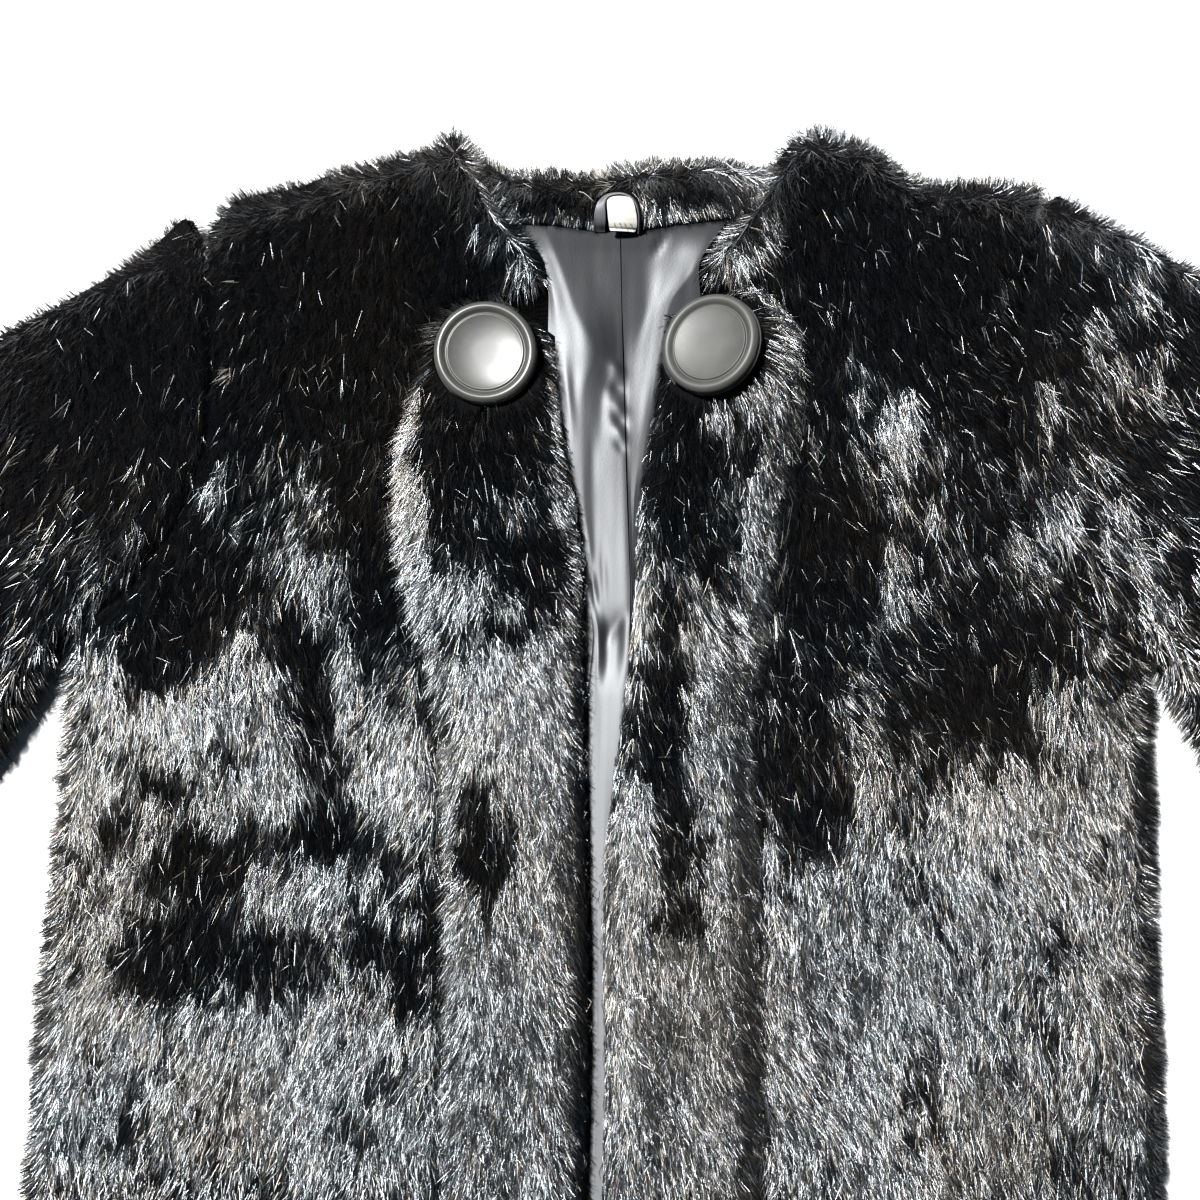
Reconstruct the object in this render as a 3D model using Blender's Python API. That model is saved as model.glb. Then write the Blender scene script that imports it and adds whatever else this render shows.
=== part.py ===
"""A black fur coat laid flat on its back, open down the front.

+X is the wearer's left, +Y runs to the neck and +Z is up from the surface.
Lengths below are in millimetres. A "drop" is the distance down from the level
of the neck points, so a place on the coat is (x, drop). The origin is on the
surface, under the middle of the back.
"""
import math

import bmesh
import bpy
import numpy as np
from mathutils import Vector

MM = 0.001

# Driving dimensions
COAT_LENGTH = 720.0       # neck point to hem
MID_DROP = COAT_LENGTH / 2
SEAM_GAP = 0.3            # clearance between pieces that meet
SET_BACK = 0.65 * SEAM_GAP    # each piece's own share of it, with a little to spare
WALL = 1.5                # skin left at an edge before the fur rounds it
BACK_TOP = 11.0           # the back fur, pressed by its own weight
LINING = 1.2
FRONT_TOP = 28.0          # height of the fur over the front panels
SLEEVE_TOP = 28.0
BAND_TOP = 32.0           # the bands stand above the fronts
NECK_BAND_TOP = 23.5
FREE_ROUND = 15.0         # how far in a free fur edge rounds over
SEAM_ROUND = 9.0          # and how far in the fur parts at a seam
UNDER_ROUND = 10.0
BUTTON_RADIUS = 25.0
BUTTON_CLEAR = 0.6

UNDER_TOP = BACK_TOP + SEAM_GAP
LINING_TOP = UNDER_TOP + LINING
BAND_LOW = LINING_TOP + SEAM_GAP
SEAM_HEIGHT = 0.70        # share of the fur's height left at a seam
EASE = (0.0, 1.5, 4.5, 9.0, 15.0)
ARMHOLE_EASE = (0.0, 1.5, 4.5, 9.0, 13.0, 17.0, 21.0, 25.0, 29.0, 47.0, 68.0)

# Seams and edges as (x, drop), from the top down
RIGHT = {
    "shoulder": [(-83.5, 2.3), (-93, 9), (-114, 16), (-140, 22.5), (-160, 31), (-187, 37),
                 (-202, 54)],
    "armhole": [(-202, 54), (-199, 90), (-197, 130), (-200, 162), (-210, 193),
                (-232, 226), (-262, 250)],
    "side": [(-262, 250), (-267, 330), (-277, 500), (-290, 716)],
    "neckline": [(-83.5, 2.3), (-69, 14), (-58.5, 38), (-43.5, 56.5), (-34.4, 73)],
    "band_seam": [(-34.4, 73), (-57, 77.5), (-79, 85.5), (-91.5, 106), (-98, 135),
                  (-105, 169), (-96, 231), (-86, 256), (-77, 320), (-74, 390),
                  (-72, 500), (-70, 720)],
    "front_edge": [(-34.4, 73), (-33, 88), (-28, 110), (-26, 140), (-18.7, 171),
                   (-13, 205), (-11.6, 253), (-7.4, 349), (-3.4, 459), (-3, 720)],
    "cap": [(-202, 54), (-212, 47), (-222, 53), (-236, 68), (-272, 90),
            (-326, 121), (-372, 158), (-408, 208)],
    "arm": [(-408, 208), (-438, 262), (-504, 378), (-588, 520)],
    "underarm": [(-262, 250), (-311, 330), (-383, 448), (-469, 592)],
}
LEFT = {
    "shoulder": [(84, -1), (97, -3), (108, 1), (120, 1.5), (131, 8), (143, 17.5), (158, 21),
                 (178, 19), (205, 21)],
    "armhole": [(205, 21), (199, 60), (192, 100), (190, 137), (196, 172),
                (222, 212), (262, 245)],
    "side": [(262, 245), (267, 330), (277, 500), (290, 716)],
    "neckline": [(84, -1), (70.8, 17.2), (59.3, 36.8), (48, 54), (38.6, 67.7)],
    "band_seam": [(38.6, 67.7), (56, 69), (74, 74), (87, 92), (90, 106),
                  (84, 140), (77.7, 178), (74, 226), (68, 265), (68, 310),
                  (73.5, 371), (76, 459), (78, 720)],
    "front_edge": [(38.6, 67.7), (24.5, 83.5), (20, 105), (18.7, 132), (12.2, 156),
                   (10.6, 195), (10, 235), (4.2, 300.5), (0, 349), (0.9, 421),
                   (2.9, 459), (3.5, 720)],
    "cap": [(205, 21), (216, 25), (242, 38), (292, 66), (346, 102), (392, 150),
            (418, 205)],
    "arm": [(418, 205), (444, 258), (508, 374), (592, 520)],
    "underarm": [(262, 245), (311, 328), (385, 446), (473, 592)],
}
NECK_TOP = [(-69, 14), (-58, 21), (-40, 22.5), (-11, 21), (13, 16.5), (47, 13), (70.8, 17.2)]
NECK_FOOT = [(-52, 46.4), (-32, 46.5), (-15, 48.5), (9, 48), (28, 44.5), (57, 40.4)]
LINING_SEAM = [(0, 49), (1.4, 79), (5.5, 142), (8, 199), (10, 228), (10.5, 320), (9, 718)]

# Long soft rises and falls in the fur: angle is from straight down, towards +X
FOLDS = [
    # x, drop, angle, length, width, rise
    (-150, 130, 12, 190, 60, 3.5),
    (-178, 285, -38, 170, 46, 4.5),
    (-128, 300, 4, 210, 34, -4.5),
    (-160, 360, -6, 240, 44, 3.0),
    (-225, 430, -3, 320, 50, 3.0),
    (-118, 520, 2, 330, 42, 3.5),
    (-185, 600, -3, 240, 40, -4.0),
    (150, 110, -10, 170, 56, 3.5),
    (166, 262, 20, 130, 62, -5.5),
    (112, 250, 5, 250, 40, 4.5),
    (205, 350, 20, 260, 46, 4.0),
    (130, 420, -4, 200, 36, -4.0),
    (165, 560, 3, 320, 46, 3.5),
    (228, 600, 4, 240, 40, -3.5),
    (-300, 150, -50, 150, 50, 4.0),
    (-352, 285, -32, 260, 44, -4.0),
    (-420, 330, -32, 260, 44, 3.0),
    (-478, 470, -32, 220, 46, -3.5),
    (305, 150, 50, 150, 50, 4.0),
    (360, 300, 32, 260, 44, -4.0),
    (428, 330, 32, 260, 44, 3.0),
    (486, 480, 32, 200, 46, -3.5),
    (-62, 300, 6, 220, 30, 2.5),
    (-44, 520, 0, 300, 26, -2.5),
    (44, 250, -6, 180, 30, 2.5),
    (40, 470, 2, 280, 26, -2.5),
]

# Each button sits in the fur on a seat that leans by tilt towards the heading
BUTTONS = {
    # name: x, drop, height of the seat, tilt, heading (both in degrees)
    "right_button": (-63.4, 111.4, 25.5, 4.0, 90.0),
    "left_button": (46.3, 104.7, 27.0, 29.0, 155.0),
}
BAND_PUFFS = [
    # x, drop, angle, length, width, rise: the bands swell around the buttons
    (76, 108, 8, 130, 44, 7.0),
    (-62, 160, 0, 120, 70, 1.5),
]


def place(x, drop, z):
    """Coat millimetres to a point in the world, in metres."""
    return Vector((x * MM, (MID_DROP - drop) * MM, z * MM))


def clear_scene():
    for old in list(bpy.data.objects):
        bpy.data.objects.remove(old, do_unlink=True)


# Curves and grids

def smooth_curve(points, steps=14):
    """Points of a Catmull-Rom curve through the listed ones."""
    p = np.asarray(points, dtype=float)
    p = np.vstack([2 * p[0] - p[1], p, 2 * p[-1] - p[-2]])
    u = np.linspace(0, 1, steps, endpoint=False)[:, None]
    runs = []
    for a, b, c, d in zip(p[:-3], p[1:-2], p[2:-1], p[3:]):
        runs.append(0.5 * (2 * b + (c - a) * u + (2 * a - 5 * b + 4 * c - d) * u ** 2
                           + (3 * b - 3 * c + d - a) * u ** 3))
    runs.append(p[-2][None])
    return np.vstack(runs)


def lengths(points):
    return np.concatenate([[0], np.cumsum(np.linalg.norm(np.diff(points, axis=0), axis=1))])


def stations(length, count, ease_start=False, ease_end=False, ease=EASE):
    """Distances along an edge: close together where the fur rounds over."""
    start = list(ease) if ease_start else [0.0]
    end = [length - e for e in reversed(ease)] if ease_end else [length]
    between = count - len(start) - len(end)
    inner = np.linspace(start[-1], end[0], between + 2)[1:-1]
    return np.array(start + list(inner) + end)


def sample(points, count, **easing):
    """An edge as `count` points, with their distances along it."""
    dense = smooth_curve(points)
    run = lengths(dense)
    at = stations(run[-1], count, **easing)
    return np.column_stack([np.interp(at, run, dense[:, 0]), np.interp(at, run, dense[:, 1])])


def join(*edges):
    """Edges that follow on from each other, without the doubled points."""
    return np.vstack([edges[0]] + [e[1:] for e in edges[1:]])


def set_back(edge, amount):
    """An edge moved sideways, to the left of the way it runs."""
    way = np.gradient(edge, axis=0)
    way /= np.linalg.norm(way, axis=1)[:, None]
    return edge + amount * np.column_stack([way[:, 1], -way[:, 0]])


def crossways(first, second, columns, ease=EASE):
    """Rows of points from one edge to the other, and each one's distances in."""
    grid, ins = [], []
    for a, b in zip(first, second):
        width = np.linalg.norm(b - a)
        squeeze = min(1.0, width / (3.2 * ease[-1]))
        at = stations(width, columns, True, True, tuple(e * squeeze for e in ease))
        grid.append(a + (b - a) * (at / width)[:, None])
        ins.append(np.column_stack([at, width - at]))
    return np.array(grid), np.array(ins)


def bow_top(grid, line, reach):
    """The top row bent onto a line, and the rows below it less and less."""
    curve = smooth_curve(line)
    curve = curve[np.argsort(curve[:, 0])]
    bow = np.interp(grid[0, :, 0], curve[:, 0], curve[:, 1]) - grid[0, :, 1]
    bow[[0, -1]] = 0.0
    fade = np.clip(1 - lengths(grid.mean(axis=1)) / reach, 0, 1) ** 2
    grid[..., 1] += fade[:, None] * bow


def from_edge(grid, edge):
    """How far each point of a grid lies from an edge, straight across."""
    ways = np.diff(edge, axis=0)
    to = grid[..., None, :] - edge[:-1]
    along = np.clip((to * ways).sum(axis=-1) / (ways ** 2).sum(axis=-1), 0, 1)
    return np.linalg.norm(to - along[..., None] * ways, axis=-1).min(axis=-1)


def rounding(distance, reach, floor):
    """1 inside the edge, falling on a quarter circle to `floor` at the edge."""
    a = np.clip(np.asarray(distance) / reach, 0, 1)
    return floor + (1 - floor) * np.sqrt(1 - (1 - a) ** 2)


def fold_height(x, drop, folds):
    """Height that the folds add at a place, soft across and along each one."""
    total = np.zeros(np.shape(x))
    for fx, fd, angle, length, width, rise in folds:
        s, c = math.sin(math.radians(angle)), math.cos(math.radians(angle))
        along = ((x - fx) * s + (drop - fd) * c) / (length / 2)
        across = ((x - fx) * c - (drop - fd) * s) / (width / 2)
        total += rise * np.exp(-across ** 2) * np.cos(np.clip(along, -1, 1) * math.pi / 2) ** 2
    return total


# Meshes

def new_object(name, bm, material):
    bmesh.ops.recalc_face_normals(bm, faces=bm.faces)
    mesh = bpy.data.meshes.new(name)
    bm.to_mesh(mesh)
    bm.free()
    mesh.shade_smooth()
    mesh.set_sharp_from_angle(angle=math.radians(50))
    mesh.materials.append(material)
    obj = bpy.data.objects.new(name, mesh)
    bpy.context.scene.collection.objects.link(obj)
    return obj


def finish(name, color, roughness, metallic=0.0):
    material = bpy.data.materials.new(name)
    material.use_nodes = True
    shader = material.node_tree.nodes["Principled BSDF"]
    shader.inputs["Base Color"].default_value = (*color, 1.0)
    shader.inputs["Roughness"].default_value = roughness
    shader.inputs["Metallic"].default_value = metallic
    return material


def close_sheet(bm, upper, lower):
    """Faces for a thin sheet, from the rows of its two sides."""
    rows, columns = len(upper), len(upper[0])
    for i in range(rows - 1):
        for j in range(columns - 1):
            for sheet in (upper, lower):
                bm.faces.new([sheet[i][j], sheet[i][j + 1], sheet[i + 1][j + 1], sheet[i + 1][j]])
        for j in (0, columns - 1):
            bm.faces.new([upper[i][j], upper[i + 1][j], lower[i + 1][j], lower[i][j]])
    for i in (0, rows - 1):
        for j in range(columns - 1):
            bm.faces.new([upper[i][j], upper[i][j + 1], lower[i][j + 1], lower[i][j]])


def fur_slab(name, grid, heights, flat_z, material):
    """A closed piece: a shaped side over or under one flat side at flat_z."""
    rows, columns = heights.shape
    bm = bmesh.new()
    shaped = [[bm.verts.new(place(*grid[i, j], heights[i, j])) for j in range(columns)]
              for i in range(rows)]
    for i in range(rows - 1):
        for j in range(columns - 1):
            bm.faces.new([shaped[i][j], shaped[i][j + 1], shaped[i + 1][j + 1], shaped[i + 1][j]])
    rim = ([(0, j) for j in range(columns)] + [(i, columns - 1) for i in range(1, rows)]
           + [(rows - 1, j) for j in range(columns - 2, -1, -1)]
           + [(i, 0) for i in range(rows - 2, 0, -1)])
    flat = [bm.verts.new(place(*grid[i, j], flat_z)) for i, j in rim]
    for k, (i, j) in enumerate(rim):
        following = (k + 1) % len(rim)
        ni, nj = rim[following]
        bm.faces.new([shaped[i][j], shaped[ni][nj], flat[following], flat[k]])
    bm.faces.new(flat)
    return new_object(name, bm, material)


def edge_share(ins, row_ends, sides):
    """How much of the full height is left near each of the four edges.

    sides holds (reach, floor) for the first edge, the second edge, the top
    row and the bottom row, or None where a row isn't an edge.
    """
    share = rounding(ins[..., 0], *sides[0]) * rounding(ins[..., 1], *sides[1])
    for distance, side in zip(row_ends, sides[2:]):
        if side:
            share = share * rounding(distance, *side)[:, None]
    return share


def end_distances(first, second):
    """Each row's distance from the first and the last row."""
    middle = (first + second) / 2
    nearest = np.minimum(lengths(first), lengths(second))
    from_top = np.minimum(lengths(middle), nearest)
    back = np.minimum(lengths(first[::-1]), lengths(second[::-1]))[::-1]
    return from_top, back


def upper_piece(name, first, second, columns, low, top, sides, material, folds=FOLDS,
                slanted=False, bow=None):
    """A fur piece seen from above: flat underneath, crowned on top.

    A piece is slanted where its rows meet an edge at a slant: then its fur
    rounds over by the distance straight in from the edge.
    """
    grid, ins = crossways(first, second, columns)
    if slanted:
        ins = np.stack([from_edge(grid, first), from_edge(grid, second)], axis=-1)
    if bow:
        bow_top(grid, bow, BOW_REACH)
    share = edge_share(ins, end_distances(first, second), sides)
    full = top + fold_height(grid[..., 0], grid[..., 1], folds) - low - WALL
    return fur_slab(name, grid, low + WALL + full * share, low, material)


def under_piece(name, first, second, columns, sides, material):
    """A fur piece that the coat rests on: flat on top, its lower edges rounded."""
    ease = tuple(e * UNDER_ROUND / EASE[-1] for e in EASE)
    grid, ins = crossways(first, second, columns, ease)
    share = edge_share(ins, end_distances(first, second), sides)
    depth = (BACK_TOP - WALL) * share
    return fur_slab(name, grid, BACK_TOP - WALL - depth, BACK_TOP, material)


# How a piece's height falls at an edge: (reach, share left at the edge itself)
FREE = (FREE_ROUND, 0.0)
UNDER_FREE = (UNDER_ROUND, 0.0)
BAND_SEAM = (12.0, 0.55)
BAND_HEAD = (9.0, 0.35)
NECK_SIDES = ((8.0, 0.0), (11.0, 0.0), None, None)
BOW_REACH = 70.0          # how far down a front its shoulder line still bends the rows

RIGHT_SIGN, LEFT_SIGN = -1, 1
ARMHOLE_ROWS = 15
SIDE_ROWS = 22
NECKLINE_ROWS = 9
SLEEVE_START = 3          # the sleeve begins this many stations from the shoulder tip
ARM_ROWS = 16
UNDER_ARMHOLE = [3, 4, 6, 8, 9, 10, 11, 12, 13, 14]   # stations that the under sleeve keeps
BACK_ARMHOLE = [0, 4, 6, 8, 9, 10, 11, 12, 13, 14]    # and the back, whose edge is inset
FRONT_COLUMNS = 18
BAND_COLUMNS = 14
SLEEVE_COLUMNS = 16
UNDER_COLUMNS = 12
NECK_COLUMNS = 12
NECK_STATIONS = 22
SHOULDER_STATIONS = 9
ROUND_STEPS = 40          # sides of a button and of the seat cut for it
SEAT_CUT = 60.0


def side_edges(cut):
    """The seams of one side of the coat, each sampled once for both its pieces."""
    edges = {
        "armhole": sample(cut["armhole"], ARMHOLE_ROWS, ease_start=True, ease=ARMHOLE_EASE),
        "side": sample(cut["side"], SIDE_ROWS, ease_end=True),
        "neckline": sample(cut["neckline"], NECKLINE_ROWS, ease_start=True),
        "cap": sample(cut["cap"], ARMHOLE_ROWS, ease_start=True),
        "arm": sample(cut["arm"], ARM_ROWS, ease_end=True),
        "underarm": sample(cut["underarm"], ARM_ROWS, ease_end=True),
    }
    seam_rows = ARMHOLE_ROWS + SIDE_ROWS - NECKLINE_ROWS
    edges["band_seam"] = sample(cut["band_seam"], seam_rows, ease_end=True)
    edges["front_edge"] = sample(cut["front_edge"], seam_rows, ease_end=True)
    return edges


def floors(rows, turn, before, after):
    """The height left at an edge, row by row, where it turns from one kind to another."""
    return np.interp(np.arange(rows), [turn - 3, turn + 1], [before, after])[:, None]


def make_front(side, cut, edges, sign, material):
    outer = set_back(join(edges["armhole"], edges["side"]), -SET_BACK * sign)
    inner = set_back(join(edges["neckline"], edges["band_seam"]), SET_BACK * sign)
    armhole_then_side = floors(len(outer), ARMHOLE_ROWS, SEAM_HEIGHT, 0.0)
    neckline_then_seam = floors(len(outer), NECKLINE_ROWS, 0.0, SEAM_HEIGHT)
    sides = ((FREE_ROUND, armhole_then_side), (SEAM_ROUND, neckline_then_seam), FREE, FREE)
    return upper_piece(f"{side}_front", outer, inner, FRONT_COLUMNS, UNDER_TOP, FRONT_TOP,
                       sides, material, slanted=True, bow=cut["shoulder"])


def button_frame(name):
    """The middle of a button's seat and the way its face looks."""
    x, drop, seat, tilt, heading = BUTTONS[name]
    lean, turn = math.radians(tilt), math.radians(heading)
    normal = Vector((math.sin(lean) * math.cos(turn), math.sin(lean) * math.sin(turn),
                     math.cos(lean)))
    return place(x, drop, seat), normal


def make_band(side, edges, sign, material):
    """The raised strip down a front edge, with a seat cut for its button."""
    seam = set_back(edges["band_seam"], -SET_BACK * sign)[1:]
    edge = edges["front_edge"][1:]
    band = upper_piece(f"{side}_front_band", seam, edge, BAND_COLUMNS, BAND_LOW, BAND_TOP,
                       (BAND_SEAM, FREE, BAND_HEAD, FREE), material, FOLDS + BAND_PUFFS,
                       slanted=True)
    seat, normal = button_frame(f"{side}_button")
    radius = (BUTTON_RADIUS + BUTTON_CLEAR) * MM
    bm = bmesh.new()
    bmesh.ops.create_cone(bm, cap_ends=True, segments=ROUND_STEPS, depth=SEAT_CUT * MM,
                          radius1=radius, radius2=radius)
    cutter = new_object(f"{side}_seat_cutter", bm, material)
    cutter.rotation_euler = normal.to_track_quat("Z", "Y").to_euler()
    cutter.location = seat + normal * SEAT_CUT * MM / 2
    cutter.hide_render = True
    cutter.display_type = "WIRE"
    cut = band.modifiers.new("seat", "BOOLEAN")
    cut.operation = "DIFFERENCE"
    cut.object = cutter
    return band


def make_sleeve(side, edges, sign, material):
    """The top sleeve and the under sleeve, one lying on the other."""
    outer = join(edges["cap"], edges["arm"])[SLEEVE_START:]
    inner = set_back(join(edges["armhole"], edges["underarm"]), SET_BACK * sign)[SLEEVE_START:]
    armhole_then_fold = floors(len(outer), ARMHOLE_ROWS - SLEEVE_START, SEAM_HEIGHT, 0.0)
    sides = (FREE, (SEAM_ROUND, armhole_then_fold), FREE, FREE)
    upper_piece(f"{side}_sleeve_top", outer, inner, SLEEVE_COLUMNS, UNDER_TOP, SLEEVE_TOP,
                sides, material)
    down = range(ARMHOLE_ROWS + 1, ARMHOLE_ROWS + ARM_ROWS - 1)
    kept = [i for i in down if i % 2 == 0 or i > ARMHOLE_ROWS + ARM_ROWS - 7]
    thin = [i - SLEEVE_START for i in UNDER_ARMHOLE + kept]
    under_piece(f"{side}_sleeve_under", outer[thin], inner[thin], UNDER_COLUMNS,
                (UNDER_FREE, UNDER_FREE, UNDER_FREE, UNDER_FREE), material)


def make_back(right, left, material):
    """The back: its outline rounded under in steps, flat where it rests."""
    right_side = set_back(join(right["armhole"], right["side"]), -SET_BACK * RIGHT_SIGN)
    left_side = set_back(join(left["armhole"], left["side"]), -SET_BACK * LEFT_SIGN)
    hem = ARMHOLE_ROWS + SIDE_ROWS - 2
    kept = BACK_ARMHOLE + list(range(ARMHOLE_ROWS + 2, hem - 3, 2)) + [hem]
    right_side, left_side = right_side[kept], left_side[kept]
    neck = sample(NECK_TOP, 9)
    right_shoulder = sample(RIGHT["shoulder"], SHOULDER_STATIONS)
    left_shoulder = sample(LEFT["shoulder"], SHOULDER_STATIONS)
    top = join(right_shoulder[::-1], neck + [0, 1.0], left_shoulder)
    bottom = np.column_stack([np.linspace(left_side[-1, 0], right_side[-1, 0], 9),
                              np.full(9, COAT_LENGTH - 1.0)])
    outline = np.vstack([top, left_side[1:], bottom[1:-1], right_side[:0:-1]])
    way = np.roll(outline, -1, axis=0) - np.roll(outline, 1, axis=0)
    way /= np.linalg.norm(way, axis=1)[:, None]
    inward = np.column_stack([-way[:, 1], way[:, 0]])
    bm = bmesh.new()
    lid = [bm.verts.new(place(*p, BACK_TOP)) for p in outline]
    bm.faces.new(lid)
    loop = lid
    for step in EASE:
        inset = step * UNDER_ROUND / EASE[-1]
        z = (BACK_TOP - WALL) * (1 - float(rounding(inset, UNDER_ROUND, 0.0)))
        following = [bm.verts.new(place(*p, z)) for p in outline + inward * inset]
        for k in range(len(loop)):
            n = (k + 1) % len(loop)
            bm.faces.new([loop[k], loop[n], following[n], following[k]])
        loop = following
    bm.faces.new(loop)
    return new_object("back_panel", bm, material)


def neck_band_edges():
    top = sample(NECK_TOP, NECK_STATIONS)
    foot = sample(NECK_FOOT, NECK_STATIONS)
    top[0] += (0.8, 0.6)
    top[-1] += (-0.8, 0.6)
    foot[0] += (0.8, -0.2)
    foot[-1] += (-0.8, -0.2)
    return top, foot


def make_neck_band(material):
    top, foot = neck_band_edges()
    return upper_piece("back_neck_band", top, foot, NECK_COLUMNS, UNDER_TOP, NECK_BAND_TOP,
                       NECK_SIDES, material, [])


def neck_band_height(x, drop):
    """The neck band's surface at a place, from the same edges."""
    top, foot = neck_band_edges()
    from_top = drop - np.interp(x, top[:, 0], top[:, 1])
    from_foot = np.interp(x, foot[:, 0], foot[:, 1]) - drop
    share = rounding(from_top, *NECK_SIDES[0]) * rounding(from_foot, *NECK_SIDES[1])
    return UNDER_TOP + WALL + (NECK_BAND_TOP - UNDER_TOP - WALL) * share


LINING_COLUMNS = 8
LINING_UNDER = 20.0       # how far the lining runs on under a band
LINING_CLEAR = 1.0
LINING_STATIONS = [0, 6, 12, 18, 24] + list(range(32, 231, 12)) + list(range(265, 669, 50))


def edge_of_opening(cut, drop):
    """Where a side's neckline, and then its front edge, lies at a drop."""
    line = np.vstack([smooth_curve(cut["neckline"]), smooth_curve(cut["front_edge"])[1:]])
    return np.interp(drop, line[:, 1], line[:, 0])


def lining_height(x, drop):
    """The satin rises along each front edge and in a small pleat at its seam."""
    from_right = x - edge_of_opening(RIGHT, drop)
    from_left = edge_of_opening(LEFT, drop) - x
    width = from_right + from_left
    share = from_right / width
    rolls = np.exp(-((share - 0.22) / 0.13) ** 2) + np.exp(-((share - 0.80) / 0.12) ** 2)
    seam = smooth_curve(LINING_SEAM)
    beside = np.abs(x - np.interp(drop, seam[:, 1], seam[:, 0]))
    pleat = 1.6 * np.exp(-((beside - 2.2) / 1.8) ** 2)
    inside = np.clip((np.minimum(from_right, from_left) - 1.0) / 3.0, 0, 1)
    below_neck = np.clip((drop - 50) / 14, 0, 1)
    return (5.5 * np.clip(width / 66, 0, 1) * rolls + pleat) * inside * below_neck


def make_lining(side, cut, sign, material):
    """Half of the back lining, from its centre seam to under the front band."""
    seam = smooth_curve(LINING_SEAM)
    foot = smooth_curve(NECK_FOOT)
    corner = cut["neckline"][-1][1]
    start = LINING_SEAM[0][1]
    upper, lower = [], []
    bm = bmesh.new()
    for down in LINING_STATIONS:
        level = start + down
        seam_x = np.interp(level, seam[:, 1], seam[:, 0]) + SEAM_GAP / 2 * sign
        front_x = edge_of_opening(cut, level)
        under = np.interp(level, [corner, corner + 2, corner + 14], [-LINING_CLEAR, 1.0, LINING_UNDER])
        xs = np.append(np.linspace(seam_x, front_x - LINING_CLEAR * sign, LINING_COLUMNS),
                       front_x + (under + 0.05) * sign)
        to_foot = np.interp(xs, foot[:, 0], foot[:, 1]) + 1.4 * SEAM_GAP - start
        drops = level + to_foot * max(0.0, 1 - down / 20)
        tops = LINING_TOP + lining_height(xs, drops)
        upper.append([bm.verts.new(place(x, d, z)) for x, d, z in zip(xs, drops, tops)])
        lower.append([bm.verts.new(place(x, d, z - LINING)) for x, d, z in zip(xs, drops, tops)])
    close_sheet(bm, upper, lower)
    return new_object(f"{side}_back_lining", bm, material)


BUTTON_PROFILE = [
    # radius, height above the seat
    (0.0, 3.4), (6.0, 3.5), (12.0, 4.0), (16.0, 4.8), (18.0, 5.5), (18.6, 5.3),
    (19.0, 4.5), (19.6, 4.7), (20.4, 5.9), (21.4, 6.8), (22.4, 7.0), (23.4, 6.6),
    (24.4, 5.4), (24.8, 4.2), (24.6, 3.0), (24.2, 2.2), (25.0, 1.6), (25.0, 0.8),
    (24.4, 0.0), (0.0, 0.0),
]


def make_button(name, material):
    """A turned button: a rolled rim, a groove and a dished middle."""
    bm = bmesh.new()
    verts = [bm.verts.new((r * MM, 0, z * MM)) for r, z in BUTTON_PROFILE]
    edges = [bm.edges.new(pair) for pair in zip(verts[:-1], verts[1:])]
    bmesh.ops.spin(bm, geom=verts + edges, cent=(0, 0, 0), axis=(0, 0, 1),
                   angle=2 * math.pi, steps=ROUND_STEPS, use_duplicate=False)
    bmesh.ops.remove_doubles(bm, verts=bm.verts, dist=1e-6)
    bmesh.ops.dissolve_degenerate(bm, edges=bm.edges, dist=1e-7)
    button = new_object(name, bm, material)
    seat, normal = button_frame(name)
    button.rotation_euler = normal.to_track_quat("Z", "Y").to_euler()
    button.location = seat + normal * SEAM_GAP * MM
    return button


def over_neck_band(x, drop, distance):
    """A point that stands off the neck band, square to its surface."""
    foot = neck_band_edges()[1]
    on = min(drop, float(np.interp(x, foot[:, 0], foot[:, 1])) - 0.4)
    step = 0.3
    rise = float(neck_band_height(x, on + step) - neck_band_height(x, on - step)) / (2 * step)
    share = distance / math.hypot(1, rise)
    z = float(neck_band_height(x, on)) + share
    return x, on - rise * share, max(z, LINING_TOP + distance)


LOOP_PATH = [
    # x, drop, distance over the neck band, turn of the ribbon from flat (degrees)
    (-9.4, 48.0, 1.1, 0), (-9.5, 46.4, 1.1, 0), (-9.7, 43.0, 1.1, 5), (-9.4, 38.5, 1.6, 25),
    (-7.2, 34.6, 3.0, 60), (-3.0, 32.4, 3.9, 85), (2.0, 32.6, 3.9, 90), (6.2, 35.4, 3.9, 90),
    (8.6, 39.6, 3.9, 90), (9.6, 43.6, 3.9, 85), (9.9, 47.4, 3.9, 80),
]
RIBBON_WIDTH = 5.6
RIBBON_THICKNESS = 0.9


def make_hang_loop(material):
    """A satin ribbon that leaves the neck seam flat and stands up round its arch."""
    fine = smooth_curve(LOOP_PATH, 3)
    centres = np.array([over_neck_band(x, drop, over) for x, drop, over, _ in fine])
    bm = bmesh.new()
    rings = []
    ways = np.gradient(centres, axis=0)
    for centre, way, turn in zip(centres, ways, fine[:, 3]):
        along = Vector((way[0], -way[1], way[2])).normalized()
        flat = Vector((1, 0, 0)) if abs(along.x) < 0.3 and turn < 45 else along.cross(Vector((0, 0, 1)))
        flat = (flat - along * flat.dot(along)).normalized()
        rise = flat.cross(along).normalized()
        angle = math.radians(turn)
        wide = flat * math.cos(angle) + rise * math.sin(angle)
        thick = along.cross(wide).normalized()
        middle = place(*centre)
        corners = ((1, 1), (-1, 1), (-1, -1), (1, -1))
        rings.append([bm.verts.new(middle + (wide * a * RIBBON_WIDTH + thick * b * RIBBON_THICKNESS)
                                   * MM / 2) for a, b in corners])
    for ring, following in zip(rings[:-1], rings[1:]):
        for k in range(4):
            n = (k + 1) % 4
            bm.faces.new([ring[k], ring[n], following[n], following[k]])
    bm.faces.new(rings[0])
    bm.faces.new(rings[-1])
    return new_object("hang_loop", bm, material)


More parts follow.
